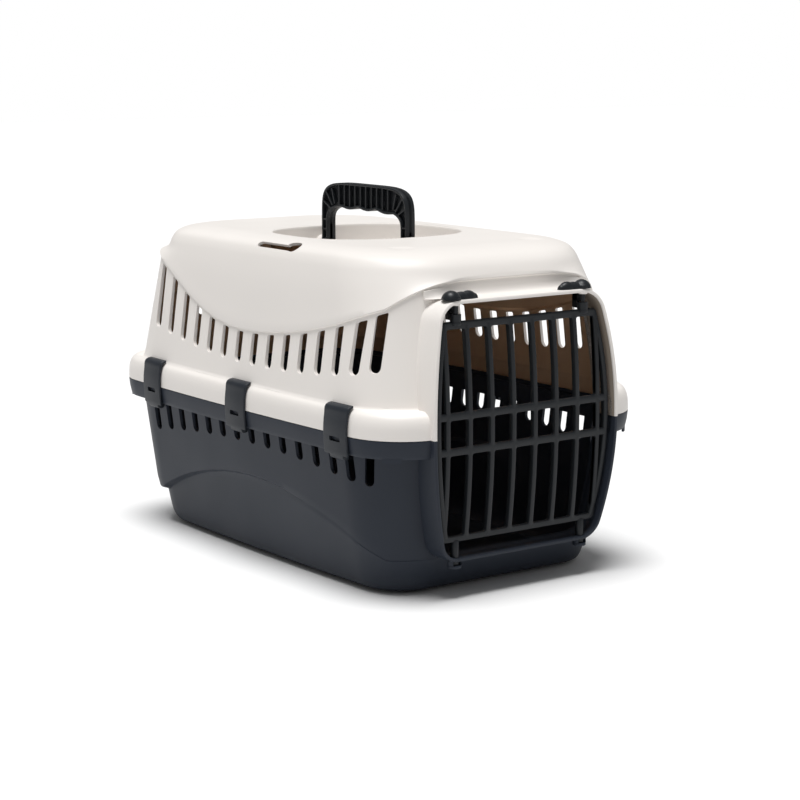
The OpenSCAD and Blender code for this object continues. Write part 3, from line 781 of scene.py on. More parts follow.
def collar_line(t, upper, n_side=26, n_cor=9, n_mid=8):
    """Half of the collar's outline, run from the joint, and mirrored."""
    z0 = mm(part("keeper_body").parting_z)
    rs, cx = SIDE_R - t, COLLAR_HW - SIDE_R
    r = (22 if upper else 20) - t
    zc = LEDGE_Z - t - r if upper else SILL_Z + t + r
    x = cx + math.sqrt((rs - r) ** 2 - (zc - SIDE_CZ) ** 2)
    a = math.degrees(math.atan2(zc - SIDE_CZ, x - cx))
    start = math.degrees(math.asin((z0 - SIDE_CZ) / rs))
    pts = arc(cx, SIDE_CZ, rs, start, a, n_side) + arc(x, zc, r, a, 90 if upper else -90, n_cor)[1:]
    end = pts[-1]
    pts += [(end[0] * (1 - k / n_mid), end[1]) for k in range(1, n_mid + 1)]
    return np.array(pts + [(-p[0], p[1]) for p in pts[-2::-1]])


def collar(upper):
    """The bowed collar of one shell, with softened front edges."""
    t = COLLAR_T
    edge = [(0, 1.6), (0.05, 0.9), (0.3, 0.28), (0.85, 0)]
    edge += [(t - u, dy) for u, dy in edge[::-1]]
    corner_x, corner_r = (58.0, 74.0) if upper else (64.0, 60.0)
    rows = []
    for p, q in zip(collar_line(0, upper), collar_line(t, upper)):
        row = []
        for u, dy in edge:
            x, z = p + (q - p) * u / t
            row.append((x, bow_y(z) + dy, z))
        for x, z in (q, p):
            over = max(0.0, abs(x) - corner_x)
            back = front_wall(z) + corner_r - math.sqrt(max(corner_r ** 2 - over ** 2, 1)) + 1.5
            row.append((x, back, z))
        rows.append(row)
    verts = np.array(rows).reshape(-1, 3)
    faces, caps = bands(len(rows), len(rows[0])), ends(len(rows), len(rows[0]))
    return verts, faces + caps if upper else flipped(faces) + flipped(caps)[::-1]


def mouth_outline(t=COLLAR_T):
    up, low = collar_line(t, True), collar_line(t, False)
    return np.vstack([up, low[::-1][1:-1]])


def slot_outline(y, z0, top_at, w, corner=1.3):
    """An upright slot with a round foot and a head that follows a rule."""
    r = w / 2
    za, zb = float(top_at(y - r)), float(top_at(y + r))
    pts = arc(y, z0 + r, r, 180, 360, 14)
    rise = (zb - za) * corner / w
    pts += [(y + r, zb - corner), (y + r - corner * 0.3, zb - corner * 0.3), (y + r - corner, zb - rise)]
    pts += [(y - r + corner, za + rise), (y - r + corner * 0.3, za - corner * 0.3), (y - r, za - corner)]
    return pts


def slot_places():
    b = part("keeper_body")
    return [SLOT_MID + (k - (b.slots - 1) / 2) * mm(b.slot_pitch) for k in range(b.slots)]


def oval(a, b, n, m=120):
    out = []
    for k in range(m):
        t = 2 * math.pi * k / m
        c, s = math.cos(t), math.sin(t)
        out.append((a * math.copysign(abs(c) ** (2 / n), c), b * math.copysign(abs(s) ** (2 / n), s) + HANDLE_Y))
    return np.array(out)


def well_pan():
    """The oval tub in the roof, with a rolled lip and a rounded foot."""
    roof = mm(part("keeper_body").roof_z)
    a, b, w = WELL_W / 2, WELL_L / 2, mm(part("keeper_body").wall)
    floor, under = WELL_FLOOR, WELL_FLOOR - w
    steps = [(2.4, roof + 0.04), (1.2, roof - 0.1), (0.5, roof - 0.5), (0.1, roof - 1.2), (0, roof - 2.4)]
    steps += [(-0.3, roof - 12), (-0.6, floor + 4.0), (-1.6, floor + 1.4), (-3.6, floor + 0.2), (-6, floor)]
    steps += [(-20, floor), (-45, floor), (-68, floor)]
    outer = [(-68, under), (-45, under), (-6, under), (-1, under + 1), (1.6, floor + 3)]
    outer += [(2.4, roof - 8), (2.4, roof - 1.4)]
    rings = [[(x, y, z) for x, y in oval(a + g, b + g, WELL_POWER)] for g, z in steps + outer]
    n, m, j = len(rings[0]), len(rings), len(steps) - 1
    faces = flipped(bands(m, n, wrap=True))
    del faces[j * n:(j + 1) * n]
    faces.append(tuple(j * n + k for k in range(n)))
    faces.append(tuple((j + 1) * n + k for k in range(n - 1, -1, -1)))
    # The tub's outer faces take slot 1, the brown painted shade of the shell's inside.
    return np.vstack(rings), faces, [0] * (j * n) + [1] * ((m - j - 1) * n) + [0, 1]


def side_cutters(shell, low):
    w = mm(part("keeper_body").slot_w)
    items = []
    for y in slot_places():
        corner = y < CORNER_SLOT
        if corner:
            y = CORNER_AT[1] + (4 if low else 0)
        elif y < -155:
            y += 2.5
        if low:
            z0 = shell.z0 - 30.2 - 0.00045 * (y + 20) ** 2
            line = slot_outline(y, z0, lambda v: shell.z0 - SKIRT - 0.6, w - (1.6 if corner else 0), 0.6)
        else:
            z0 = shell.z0 + 38.2 + 0.00048 * (y + 25) ** 2
            line = slot_outline(y, z0, lambda v: shell.swoosh(200.0, v) - 2.6, w)
        if not corner:
            items.append(prism(line, "x", -160, 160))
            continue
        line = [(v - y - 0.07 * (z - z0 - 25), z) for v, z in line]
        for d in (-1, 1):
            v, f = prism(line, "x", -26, 26)
            turn = Matrix.Rotation(math.radians(-d * CORNER_TURN), 4, "Z")
            items.append((moved(Matrix.Translation((d * CORNER_AT[0], y, 0)) @ turn, v), f))
    return items


def rear_cutters(shell):
    b = part("keeper_body")
    items = []
    for k in range(b.rear_slots):
        x = (k - (b.rear_slots - 1) / 2) * mm(b.slot_pitch)
        line = slot_outline(x, shell.z0 + 52, lambda v: shell.z0 + 104, mm(b.slot_w))
        items.append(prism(line, "y", 180, 235))
    return items


def keyhole_cutters():
    """A slit with an oval end, turned and tilted to lie in each shoulder of the roof."""
    roof = mm(part("keeper_body").roof_z)
    items = []
    for s in (-1, 1):
        slit = arc(0, 24, 3.3, 0, 180, 14) + arc(0, -24, 3.3, 180, 360, 14)
        c, d = math.cos(math.radians(KEY_TURN * s)), math.sin(math.radians(KEY_TURN * s))
        end = [(-s * 3.2 + x * c - y * d, -24 + x * d + y * c) for x, y in oval(6.6, 9.6, 2.0, 40)]
        m = Matrix.Translation((s * KEY_AT[0], KEY_AT[1], roof + KEY_AT[2]))
        m = m @ Matrix.Rotation(math.radians(s * KEY_TILT), 4, "Y")
        for line in (slit, end):
            v, f = prism(line, "z", -14, 16)
            items.append((moved(m, v), f))
    return items


def cove():
    """The hollow curve between the ledge over the door and the cap's lip."""
    s = Shell()
    verts, steps, reach, r0 = [], 10, 6.5, WALL_R[0]
    xs = np.linspace(-84, 84, 57)
    for x in xs:
        top = float(s.swoosh(x, -208.0)) - 1.6
        r = r0 - LEAN * (top - s.ledge_top)
        mid = s.rim_x(s.front_y + SIDE_SET + END_MORE + r0) - SIDE_SET - r0
        over = max(0.0, abs(x) - mid)
        wall = s.front_y + SIDE_SET + END_MORE + r0 - math.sqrt(r * r - over * over)
        w = reach * min(1.0, (86 - abs(x)) / 14)
        for t in np.linspace(0, math.pi / 2, steps):
            verts.append((x, wall - w + w * math.cos(t), top - (top - LEDGE_Z - 0.02) * math.sin(t)))
        verts += [(x, wall + 1.5, LEDGE_Z - 1), (x, wall + 1.5, top)]
    m, n = steps + 2, len(xs)
    return np.array(verts), ends(n, m) + flipped(bands(n, m, turn=True))


def dish_cutters():
    """Shallow dishes in the roof near its front corners."""
    r, (x, y), z = DISH_R, DISH_AT, mm(part("keeper_body").roof_z) + DISH_R - DISH_D
    cap = [(r * math.sin(a), -r * math.cos(a)) for a in np.linspace(0.02, 0.35, 24)]
    cap = [(0, -r)] + cap + [(0, -r * math.cos(0.35))]
    return [turned_solid(cap, 72, (d * x, y, z)) for d in (-1, 1)]


def build_top_shell():
    s = Shell()
    w, z, ledge = s.wall, s.z0, s.ledge_top
    foot = ins(SIDE_SET)
    lip = mm(part("keeper_body").cap_proud)
    cap = [s.level(*row, s.roof) for row in ROOF_ROWS[::-1]]
    cap += [s.level(i, r, s.roof - d) for i, r, d, _ in reversed(CAP_ROWS)]
    cap.append(s.crease(grow(foot, -lip), CAP_R, 0.9))
    rows = smooth_rows(cap, [2, 5, 4, 4, 4, 4, 7])
    rows += [s.crease(grow(foot, -lip + 0.15), CAP_R, 0.25), s.crease(grow(foot, -lip + 0.6), CAP_R, -0.2)]
    rows.append(s.crease(foot, CAP_R, -0.35))
    rows += straight_rows(rows[-1], s.level(grow(foot, -0.35), WALL_R, ledge + 2.6), 14)
    rows += [s.level(grow(foot, -0.75), WALL_R, ledge + 1.0), s.level(grow(foot, -1.5), WALL_R, ledge + 0.1)]
    rim = [rows[-1], s.level((5, 6, 6), (RIM_R, RIM_R), ledge - 0.7)]
    rim += [s.level((2.5, 2.8, 2.8), (RIM_R, RIM_R), ledge - 3.6), s.even(0.8, ledge - 9)]
    rim += [s.even(0.1, z + 2.2), s.even(0, z + 0.6)]
    rows += smooth_rows(rim, [3, 4, 3, 3, 1])[1:]
    rows.append(s.even(0.3, z + 0.1))
    outer = len(rows)
    rin = RIM_R - w
    rows += [s.even(w, z + 0.1, rin), s.even(w + 1, ledge - 8, rin)]
    rows += [s.level((5.4, 5.8, 5.8), (rin, rin), ledge - w - 0.9), s.level(ins(SIDE_SET, w), WALL_IN_R, ledge - w)]
    rows += straight_rows(rows[-1], s.crease(grow(foot, w), CAP_IN_R, -1.2), 10)
    inside = [s.crease(grow(foot, w - lip), CAP_IN_R, 1.2)]
    inside += [s.level(grow(i, w * o[0]), r, s.roof - d - w * o[1]) for i, r, d, o in CAP_ROWS]
    inside += [s.level(*row, s.roof - w) for row in ROOF_ROWS]
    rows += smooth_rows(inside, [4, 3, 3, 3, 3, 3, 2])
    # The inner faces take the brown painted shade of the shell's inside; the cream is the plastic's own colour.
    cream, inside_painted_shade = material("keeper_cream"), material("keeper_inside")
    skin = new_object("skin", *loft(rows, outer - 1), (cream, inside_painted_shade), 28)
    cut(skin, prism(mouth_outline(), "y", *MOUTH_CUT), cream)
    cut(skin, gather(side_cutters(s, False) + rear_cutters(s)), cream)
    for mesh in keyhole_cutters():
        cut(skin, mesh, cream)
    cut(skin, gather(dish_cutters()), cream)
    line = oval(WELL_W / 2 + 1.5, WELL_L / 2 + 1.5, WELL_POWER)
    cut(skin, prism(line, "z", WELL_FLOOR - 4, s.roof + 20), cream)
    pan = new_object("pan", *well_pan(), (cream, inside_painted_shade))
    piv = s.roof + HANDLE_UP - mm(part("keeper_handle").height)
    bosses = []
    for d in (-1, 1):
        y0 = HANDLE_Y + d * (mm(part("keeper_handle").span) / 2 + 0.4)
        y1 = HANDLE_Y + d * (WELL_L / 2 + 1)
        bosses.append(rod(6.5, min(y0, y1), max(y0, y1), (0, 0, piv), "y", 0.6))
        bosses.append(rod(3.9, LEDGE_Z - 4.4, LEDGE_Z - 0.5, (d * PIVOT_X, pivot_y(), 0), "z", 0.3))
    extra = new_object("bosses", *gather(bosses), None, (cream,))
    v, f = collar(True)
    # The collar's inner faces take the darker painted shade colour instead of the cream.
    collar_painted_shade_faces = [int(k % COLLAR_N == COLLAR_INNER and k < len(f) - 2) for k in range(len(f))]
    ring = new_object("collar", v, f, collar_painted_shade_faces, (cream, material("keeper_shade")), 30)
    hollow = new_object("cove", *cove(), None, (cream,), 60)
    ob = joined("top_shell_skin", [skin, pan, extra, ring, hollow], sharp=30)
    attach(ob, "shell")
    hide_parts("top_shell")


def pivot_y():
    return -mm(part("keeper_body").body_l) / 2 + DOOR_SET + 8.0


def build_base_shell():
    s = Shell()
    w, z = s.wall, s.z0
    low = ins(LOW_SET)
    rows = [s.level(*BASE_MID, 2.5)] + smooth_rows([s.level(*row) for row in BASE_FOOT], [4, 3, 2])
    rows += straight_rows(rows[-1], s.arched(low, WALL_R, -1.9, 1.0), 10)
    rows += [s.arched(grow(low, 0.25), WALL_R, -1.0, 0.85), s.arched(grow(low, -0.1), WALL_R, 1.0, 0.15)]
    rows += straight_rows(s.arched(low, WALL_R, 1.8, 0.0), s.level(low, WALL_R, z - w), 12)
    # Under the rim, down inside the skirt, round its foot and up its outside.
    rows += [s.even(w, z - w, RIM_R - w), s.even(w + 1.6, z - SKIRT, RIM_R - w)]
    skirt = [(2.2, -SKIRT), (1.85, -SKIRT + 0.5), (1.3, -SKIRT + 3.5), (0.6, -7.3)]
    skirt += [(0.1, -1.2), (0.25, -0.3), (0.8, -0.05)]
    rows += [s.even(inset, z + dz) for inset, dz in skirt]
    # The tongue that the top shell's rim goes over.
    t0 = w + 1.6
    rows += [s.even(t0, z - 0.05, 48), s.even(t0 + 0.2, z + 4, 48), s.even(t0 + 1.4, z + 4, 46)]
    rows += [s.even(t0 + 1.6, z, 46), s.level(ins(LOW_SET, w), WALL_IN_R, z)]
    rows += straight_rows(rows[-1], s.arched(grow(low, w), WALL_IN_R, 1.6, 0.0), 8)
    rows.append(s.arched(grow(low, w), WALL_IN_R, -1.6, 1.0))
    inside = [s.level(*row) for row in BASE_INSIDE] + [s.level(*BASE_FOOT[0][:2], 2.5 + w)]
    rows += straight_rows(rows[-1], inside[0], 5) + smooth_rows(inside, [3, 3])[1:]
    rows.append(s.level(*BASE_MID, 2.5 + w))
    slate = material("keeper_slate")
    skin = new_object("skin", *loft(rows[::-1]), (slate,), 28)
    cut(skin, prism(mouth_outline(), "y", *MOUTH_CUT), slate)
    cut(skin, gather(side_cutters(s, True)), slate)
    bits = [collar(False)]
    for x in (-48, 48):
        for y in (-165, 165):
            bits.append(rod(9, 0, 3.8, (x, y, 0), "z", 0.8, 40))
    for d in (-1, 1):
        bits.append(socket(d))
        bits += [corner_lug(s, d, e) for e in (-1, 1)]
        bits += [clip_lug(s, d, k) for k in range(3)]
    extra = new_object("bits", *gather(bits), None, (slate,), 35)
    ob = joined("base_shell_skin", [skin, extra], sharp=30)
    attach(ob, "shell")
    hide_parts("base_shell")


def socket(side):
    """A half-round cup under the sill, open to the front for the door's peg."""
    a, b = 5.8, 3.65
    line = arc(0, 0, b, 0, 180, 16)[::-1]
    opening = math.degrees(math.asin((b + 0.5) / a))
    outer = arc(0, 0, a, -90 + opening, 270 - opening, 30)
    line = outer + [(-b, 0)] + line[1:-1] + [(b, 0)]
    z0, z1 = SILL_Z - 3.0, SILL_Z + 1.0
    ring = prism(shifted(line, side * PIVOT_X, pivot_y()), "z", z0, z1)
    floor = rod(a, SILL_Z - 5.5, z0 + 0.02, (side * PIVOT_X, pivot_y(), 0), "z", 0.7, 40)
    return gather([ring, floor])


def corner_lug(s, sx, sy):
    cy = s.rear_y - RIM_R if sy > 0 else s.front_y + RIM_R
    cx = s.rim_x(cy) - RIM_R
    line = arc(0, 0, RIM_R - 2.4, -9, 9, 8) + arc(0, 0, RIM_R - 4.2, 9, -9, 8)
    v, f = prism(line, "z", s.z0 - SKIRT - 3, s.z0 - SKIRT + 1)
    turn = sy * 45 if sx > 0 else 180 - sy * 45
    m = Matrix.Translation((sx * cx, cy, 0)) @ Matrix.Rotation(math.radians(turn), 4, "Z")
    return moved(m, v), f


def clip_frame(s, side, k):
    """Where a clip stands: X out from the rim line, Y along it."""
    y = CLIP_Y + (1 - k) * CLIP_STEP
    turn = math.atan(2 * RIM_BOW * (y - SIDE_Y) / BOW_LEN ** 2)
    m = Matrix.Translation((s.rim_x(y), y, 0)) @ Matrix.Rotation(turn, 4, "Z")
    if side < 0:
        m = Matrix.Scale(-1, 4, (1, 0, 0)) @ m
    return m


def clip_lug(s, side, k):
    z = s.z0 - SKIRT - PIN_DROP
    block = box_mesh((PIN_U - 6, -3, z - 1.8), (PIN_U, 3, z + KNUCKLE))
    v, f = gather([rod(KNUCKLE, -3, 3, (PIN_U, 0, z), "y", 0.3), block])
    return moved(clip_frame(s, side, k), v), flipped(f) if side < 0 else f


def box_mesh(lo, hi):
    (x0, y0, z0), (x1, y1, z1) = lo, hi
    v = [(x, y, z) for z in (z0, z1) for x, y in ((x0, y0), (x1, y0), (x1, y1), (x0, y1))]
    f = [(3, 2, 1, 0), (4, 5, 6, 7), (0, 1, 5, 4), (1, 2, 6, 5), (2, 3, 7, 6), (3, 0, 4, 7)]
    return np.array(v, float), f


# ---------------------------------------------------------------------- door


def door_outline(t, n_side=40, n_cor=6, n_mid=12):
    """The door's outline, inset by t, from the right side round by the top."""
    d = DOOR_T0 + t
    z0, z1, r = DOOR_Z0 + t, DOOR_Z1 - t, max(3.5 - t, 1.2)
    rs, cx = SIDE_R - d, COLLAR_HW - SIDE_R
    x1 = cx + math.sqrt((rs - r) ** 2 - (z1 - r - SIDE_CZ) ** 2)
    a1 = math.degrees(math.atan2(z1 - r - SIDE_CZ, x1 - cx))
    x0 = cx + math.sqrt((rs - r) ** 2 - (SIDE_CZ - z0 - r) ** 2)
    a0 = -math.degrees(math.atan2(SIDE_CZ - z0 - r, x0 - cx))
    half = [(x0 * k / n_mid, z0) for k in range(n_mid)] + arc(x0, z0 + r, r, -90, a0, n_cor)
    half += arc(cx, SIDE_CZ, rs, a0, a1, n_side)[1:-1] + arc(x1, z1 - r, r, a1, 90, n_cor)
    half += [(x1 * (1 - k / n_mid), z1) for k in range(1, n_mid + 1)]
    return half + [(-x, z) for x, z in half[-2:0:-1]]


def door_cell(w, z0, z1, x_in, za, zb, depth, r=1.8, parts=14):
    """One cell of the grille: a rounded window in its rectangle, with soft edges."""
    def window(g):
        rr, x, lo, hi = r + g, w / 2 - x_in + g, za - g, zb + g
        pts = []
        corners = ((x - rr, lo + rr, -90), (x - rr, hi - rr, 0), (-x + rr, hi - rr, 90), (-x + rr, lo + rr, 180))
        for cx, cz, a in corners:
            pts += arc(cx, cz, rr, a, a + 90, 4)
            if a == -90:
                pts += [(x, lo + rr + (hi - lo - 2 * rr) * k / parts) for k in range(1, parts)]
            if a == 90:
                pts += [(-x, hi - rr - (hi - lo - 2 * rr) * k / parts) for k in range(1, parts)]
        return pts

    win = window(0)
    xo, n4 = w / 2, 4
    outer = []
    for a, (cx, cz) in ((-90, (xo, z0)), (0, (xo, z1)), (90, (-xo, z1)), (180, (-xo, z0))):
        at = {-90: 0, 0: 5 + parts - 1, 90: 10 + parts - 1, 180: 15 + 2 * (parts - 1)}[a]
        p, q = win[at], win[at + n4]
        start = (p[0], cz) if a in (-90, 90) else (cx, p[1])
        end = (cx, q[1]) if a in (-90, 90) else (q[0], cz)
        for k in range(5):
            u = k / 2
            if u <= 1:
                outer.append((start[0] + (cx - start[0]) * u, start[1] + (cz - start[1]) * u))
            else:
                outer.append((cx + (end[0] - cx) * (u - 1), cz + (end[1] - cz) * (u - 1)))
        if a == -90:
            outer += [(xo, win[4][1] + (win[5 + parts - 1][1] - win[4][1]) * k / parts) for k in range(1, parts)]
        if a == 90:
            top, foot = win[14 + parts - 1][1], win[15 + 2 * (parts - 1)][1]
            outer += [(-xo, top + (foot - top) * k / parts) for k in range(1, parts)]
    e = 0.75
    rings = [(outer, 0)] + [(window(g), y) for g, y in soft(0, depth, e)] + [(outer, depth)]
    verts = [(x, y, z) for pts, y in rings for x, z in pts]
    return verts, bands(len(rings), len(win))


def build_door():
    p = part("keeper_door")
    pitch, bw, rh, depth, stile = mm(p.bar_pitch), mm(p.bar_w), mm(p.rail_h), mm(p.depth), mm(p.stile_w)
    dark = material("keeper_door_plastic")
    y0 = bow_y(BOW_Z, DOOR_SET)
    rail_a, rail_b = RAILS
    rows = [
        (DOOR_Z0 + 0.8, rail_b, DOOR_Z0 + rh - 1, rail_b - rh / 2),
        (rail_b, rail_a, rail_b + rh / 2, rail_a - rh / 2),
        (rail_a, DOOR_Z1 - 0.8, rail_a + rh / 2, DOOR_Z1 - rh),
    ]
    made = []
    for j, (z0, z1, za, zb) in enumerate(rows):
        v, f = door_cell(pitch, z0, z1, bw / 2, za, zb, depth)
        v = np.array(v) + np.array([0, y0, 0])
        cell = new_object("cell", v, f)
        made.append(row_of("cells_%d" % j, cell, p.bars - 1, (pitch, 0, 0), dark, BOW_R, BOW_Z))
    edge = (p.bars - 1) / 2 * pitch
    items = []
    section = rounded_rect(stile, depth + 0.1, 1.2)
    line = door_outline(stile / 2, 60)
    path = [(x, bow_y(z, DOOR_SET) + depth / 2, z) for x, z in line]
    items.append(sweep_across(path, section, True))
    bar = rounded_rect(bw, depth, 1.2)
    for s in (-1, 1):
        path = [(s * edge, bow_y(z, DOOR_SET) + depth / 2, z) for z in np.linspace(DOOR_Z0 + 2, DOOR_Z1 - 2, 48)]
        items.append(sweep_across(path, bar, False))
        for z in (rail_b, rail_a):
            y = bow_y(z, DOOR_SET) + depth / 2
            path = [(s * x, y, z) for x in np.linspace(edge - 1, edge + 9.5, 6)]
            if s < 0:
                path = path[::-1]
            items.append(sweep(path, rounded_rect(rh, depth - 0.04, 1.2), (0, 0, 1)))
        items.append(rod(3.6, 28.9, DOOR_Z0 + 1.5, (s * PIVOT_X, pivot_y(), 0), "z", 0.6))
        items.append(fork(s))
        x = s * PIVOT_X
        items.append(box_mesh((x - 3, bow_y(52, DOOR_SET) + 1, DOOR_Z0 + 0.3), (x + 3, pivot_y() + 1, DOOR_Z0 + 4)))
    made.append(new_object("frame", *gather(items), None, (dark,)))
    ob = joined("door_grille", made, sharp=40)
    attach(ob, "door")
    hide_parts("door")


def sweep_across(path, section, closed):
    """Sweeps along a curve near the XZ plane, with the section's first axis in that plane."""
    pts = np.array(path, float)
    n = len(pts)

    def side(k):
        d = pts[(k + 1) % n] - pts[k - 1] if closed else pts[min(k + 1, n - 1)] - pts[max(k - 1, 0)]
        u = np.cross(d, (0.0, 1.0, 0.0))
        return u / np.linalg.norm(u)

    return sweep(pts, section, side, closed)


def fork(side):
    a, b, h = 4.6, 2.25, 6.0
    gap = math.degrees(math.asin((b + 0.27) / a))
    outer = arc(0, 0, a, 90 + gap, 450 - gap, 30)
    inner = arc(0, 0, b, 0, -180, 16)
    line = outer + [(b, 0)] + inner[1:-1] + [(-b, 0)]
    at = (side * PIVOT_X, pivot_y())
    ring = prism([(x + at[0], y + at[1]) for x, y in line], "z", DOOR_Z1 - 0.05, DOOR_Z1 + h)
    disc = rod(a, DOOR_Z1 - 3, DOOR_Z1, (at[0], at[1], 0), "z", 0.3)
    return gather([ring, disc])


# ------------------------------------------------------------------- latches


# Centre and radii of the lumps that the knob and its wing are blended from.
KNOB_LUMPS = [
    ((1.8, 3.6, -1.2), (8.2, 8.2, 8.4)),
    ((-8, 3.4, 0.2), (8.5, 5.4, 5.6)),
    ((-15, 3.2, 0.2), (7.6, 5.0, 6.2)),
    ((-20.5, 3.0, -0.4), (3.9, 3.6, 4.6)),
]


def knob_mesh(side):
    """A domed knob with a thumb wing, blended into one smooth form."""
    half = [(math.sin(a), -math.cos(a)) for a in np.linspace(0.12, math.pi - 0.12, 20)]
    ball, skin = turned_solid([(0, -1)] + half + [(0, 1)], 40)
    lumps = [(ball * np.array(radii) + np.array(centre), skin) for centre, radii in KNOB_LUMPS]
    v, f = gather(lumps + [rod(4.2, -1, 3, (0, 0, 0))])
    ob = new_object("knob", v * np.array([side, 1, 1]), flipped(f) if side < 0 else f)
    mod = ob.modifiers.new("blend", "REMESH")
    mod.mode, mod.voxel_size = "VOXEL", 0.00042
    applied(ob)
    mod = ob.modifiers.new("soften", "SMOOTH")
    mod.factor, mod.iterations = 0.6, 10
    applied(ob)
    cut(ob, box_mesh((-60, -60, -30), (60, 60, 0)))
    return ob


def build_latches():
    dark = material("keeper_door_plastic")
    for side, name in ((-1, "left"), (1, "right")):
        knob = knob_mesh(side)
        zk = LEDGE_Z + 0.2
        knob.data.transform(Matrix.Translation((side * PIVOT_X / 1000, pivot_y() / 1000, zk / 1000)))
        knob.data.materials.clear()
        knob.data.materials.append(dark)
        x, y = side * PIVOT_X, pivot_y()
        stem_z, arm_z, arm_top = DOOR_Z1 + 0.6, DOOR_Z1 + 6.4, LEDGE_Z - 4.8
        bits = [
            rod(2.2, stem_z, LEDGE_Z + 1, (x, y, 0), "z", 0.3),
            bevelled_box((x - 1.5, y, arm_z), (x + 1.5, y + 12, arm_top), 0.5),
            bevelled_box((x - 1.5, y + 5.2, stem_z), (x + 1.5, y + 12, arm_top), 0.5),
        ]
        rest = new_object("bits", *gather(bits), None, (dark,))
        ob = joined("latch_knob_" + name, [knob, rest], sharp=50)
        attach(ob, "latch_" + name)
        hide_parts("latch_" + name)


def bevelled_box(lo, hi, e):
    """A box with its upright and long edges softened."""
    (x0, y0, z0), (x1, y1, z1) = lo, hi
    line = rounded_rect(x1 - x0, y1 - y0, e)
    cx, cy = (x0 + x1) / 2, (y0 + y1) / 2
    rings = []
    for g, z in soft(z0, z1, e):
        kx, ky = 1 - 2 * g / (x1 - x0), 1 - 2 * g / (y1 - y0)
        rings.append([(cx + px * kx, cy + py * ky, z) for px, py in line])
    return np.array(rings).reshape(-1, 3), ends(len(rings), len(line)) + bands(len(rings), len(line))


# -------------------------------------------------------------------- handle


def bail_line(a, h, n, m, wave=0.0, bend=18.0, foot=None):
    """One side of the handle as (y, z), from one foot over the top to the other."""
    pts = []
    for k in range(m + 1):
        t = math.pi * k / m
        c, s = math.cos(t), math.sin(t)
        y = a * math.copysign(abs(c) ** (2 / n), c)
        z = bend + (h - bend) * max(s, 0.0) ** (2 / n)
        if wave and abs(y + LOBE_Y) < 1.5 * LOBE:
            z -= wave * abs(math.cos(math.pi * (y + LOBE_Y) / LOBE))
        pts.append((y, z))
    if foot is not None:
        legs = np.linspace(foot, bend, 7)[:-1]
        pts = [(a, z) for z in legs] + pts + [(-a, z) for z in legs[::-1]]
    return pts


def thick_plate(outer, inner, half_x, e):
    """A plate between two lines of equal count, standing on Y and Z, with soft edges."""
    rows = []
    for p, q in zip(outer, inner):
        p, q = np.array(p), np.array(q)
        d = (q - p) / max(np.linalg.norm(q - p), 1e-6)
        seq = [(p, half_x - e), (p + d * e * 0.3, half_x - e * 0.3), (p + d * e, half_x)]
        seq += [(q - d * e, half_x), (q - d * e * 0.3, half_x - e * 0.3), (q, half_x - e)]
        seq += [(c, -x) for c, x in seq[::-1]]
        rows.append([(x, c[0], c[1]) for c, x in seq])
    m, n = len(rows[0]), len(rows)
    return np.array(rows).reshape(-1, 3), bands(n, m, turn=True) + flipped(ends(n, m))


def resample(points, count):
    p = np.array(points, float)
    d = np.concatenate([[0], np.cumsum(np.linalg.norm(np.diff(p, axis=0), axis=1))])
    t = np.linspace(0, d[-1], count)
    return np.column_stack([np.interp(t, d, p[:, 0]), np.interp(t, d, p[:, 1])])


def build_handle():
    p = part("keeper_handle")
    a, h, t, leg, grip = mm(p.span) / 2, mm(p.height), mm(p.thick), mm(p.leg_w), mm(p.grip_h)
    dark = material("keeper_door_plastic")
    count, skin = 220, 2.0
    under = h - grip + 1  # top of the finger opening

    def line(half, height, power, steps, wave=0.0):
        return resample(bail_line(half, height, power, steps, wave=wave, foot=HANDLE_FOOT), count)

    out, out_in = line(a, h, 5, 90), line(a - skin, h - skin, 5, 90)
    inn = line(a - leg, under, 3.6, 180, 2.6)
    inn_out = line(a - leg + skin, h - grip + skin + 1, 3.6, 180, 2.2)
    items = [thick_plate(out, out_in, t / 2, 0.7), thick_plate(inn_out, inn, t / 2, 0.7)]
    items.append(thick_plate(out, inn, 1.5, 0.2))
    for s in (-1, 1):
        y0, y1 = sorted((s * (a - leg), s * a))
        items.append(bevelled_box((-t / 2, y0, HANDLE_FOOT), (t / 2, y1, 4.4), 0.9))
        y0, y1 = sorted((s * (a - 1), s * (WELL_L / 2 + 0.1)))
        items.append(rod(3.0, y0, y1, (0, 0, 0), "y", 0.4))
        for deg in (28, 50, 72):
            w = math.radians(deg)
            c = np.array([s * 42.0, 27.0])
            d = np.array([s * math.cos(w), math.sin(w)])
            items.append(rib_between(c + d * 10.5, c + d * (26.0 if deg == 50 else 24.6), t))
        for z in (12.6, 21.6):
            items.append(rib_between(np.array([s * (a - leg + 1.2), z]), np.array([s * (a - 1.2), z]), t))
    made = [new_object("bail", *gather(items), None, (dark,))]
    v, f = rib_between(np.array([0, h - grip + 1.2]), np.array([0, h - 1.2]), t)
    rib = new_object("rib", v, f)
    made.append(row_of("grip_ribs", rib, 10, (0, mm(p.rib_pitch), 0), dark))
    ob = joined("carry_handle", made, sharp=38)
    pin_z = mm(part("keeper_body").roof_z) + HANDLE_UP - h
    ob.data.transform(Matrix.Translation((0, HANDLE_Y / 1000, pin_z / 1000)))
    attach(ob, "handle")
    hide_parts("handle")


def rib_between(p, q, t, w=1.3):
    """A thin rib from p to q in the YZ plane, as deep as the handle less its rim."""
    d = (q - p) / np.linalg.norm(q - p)
    e = np.array([-d[1], d[0]]) * w / 2
    x = t / 2 - 0.45
    quad = [p + e, p - e, q - e, q + e]
    verts = [(-x, c[0], c[1]) for c in quad] + [(x, c[0], c[1]) for c in quad]
    faces = [(0, 1, 2, 3), (7, 6, 5, 4), (0, 4, 5, 1), (1, 5, 6, 2), (2, 6, 7, 3), (3, 7, 4, 0)]
    area = np.cross(quad[1] - quad[0], quad[2] - quad[1])
    if area > 0:
        faces = [g[::-1] for g in faces]
    return np.array(verts), faces


# --------------------------------------------------------------------- clips


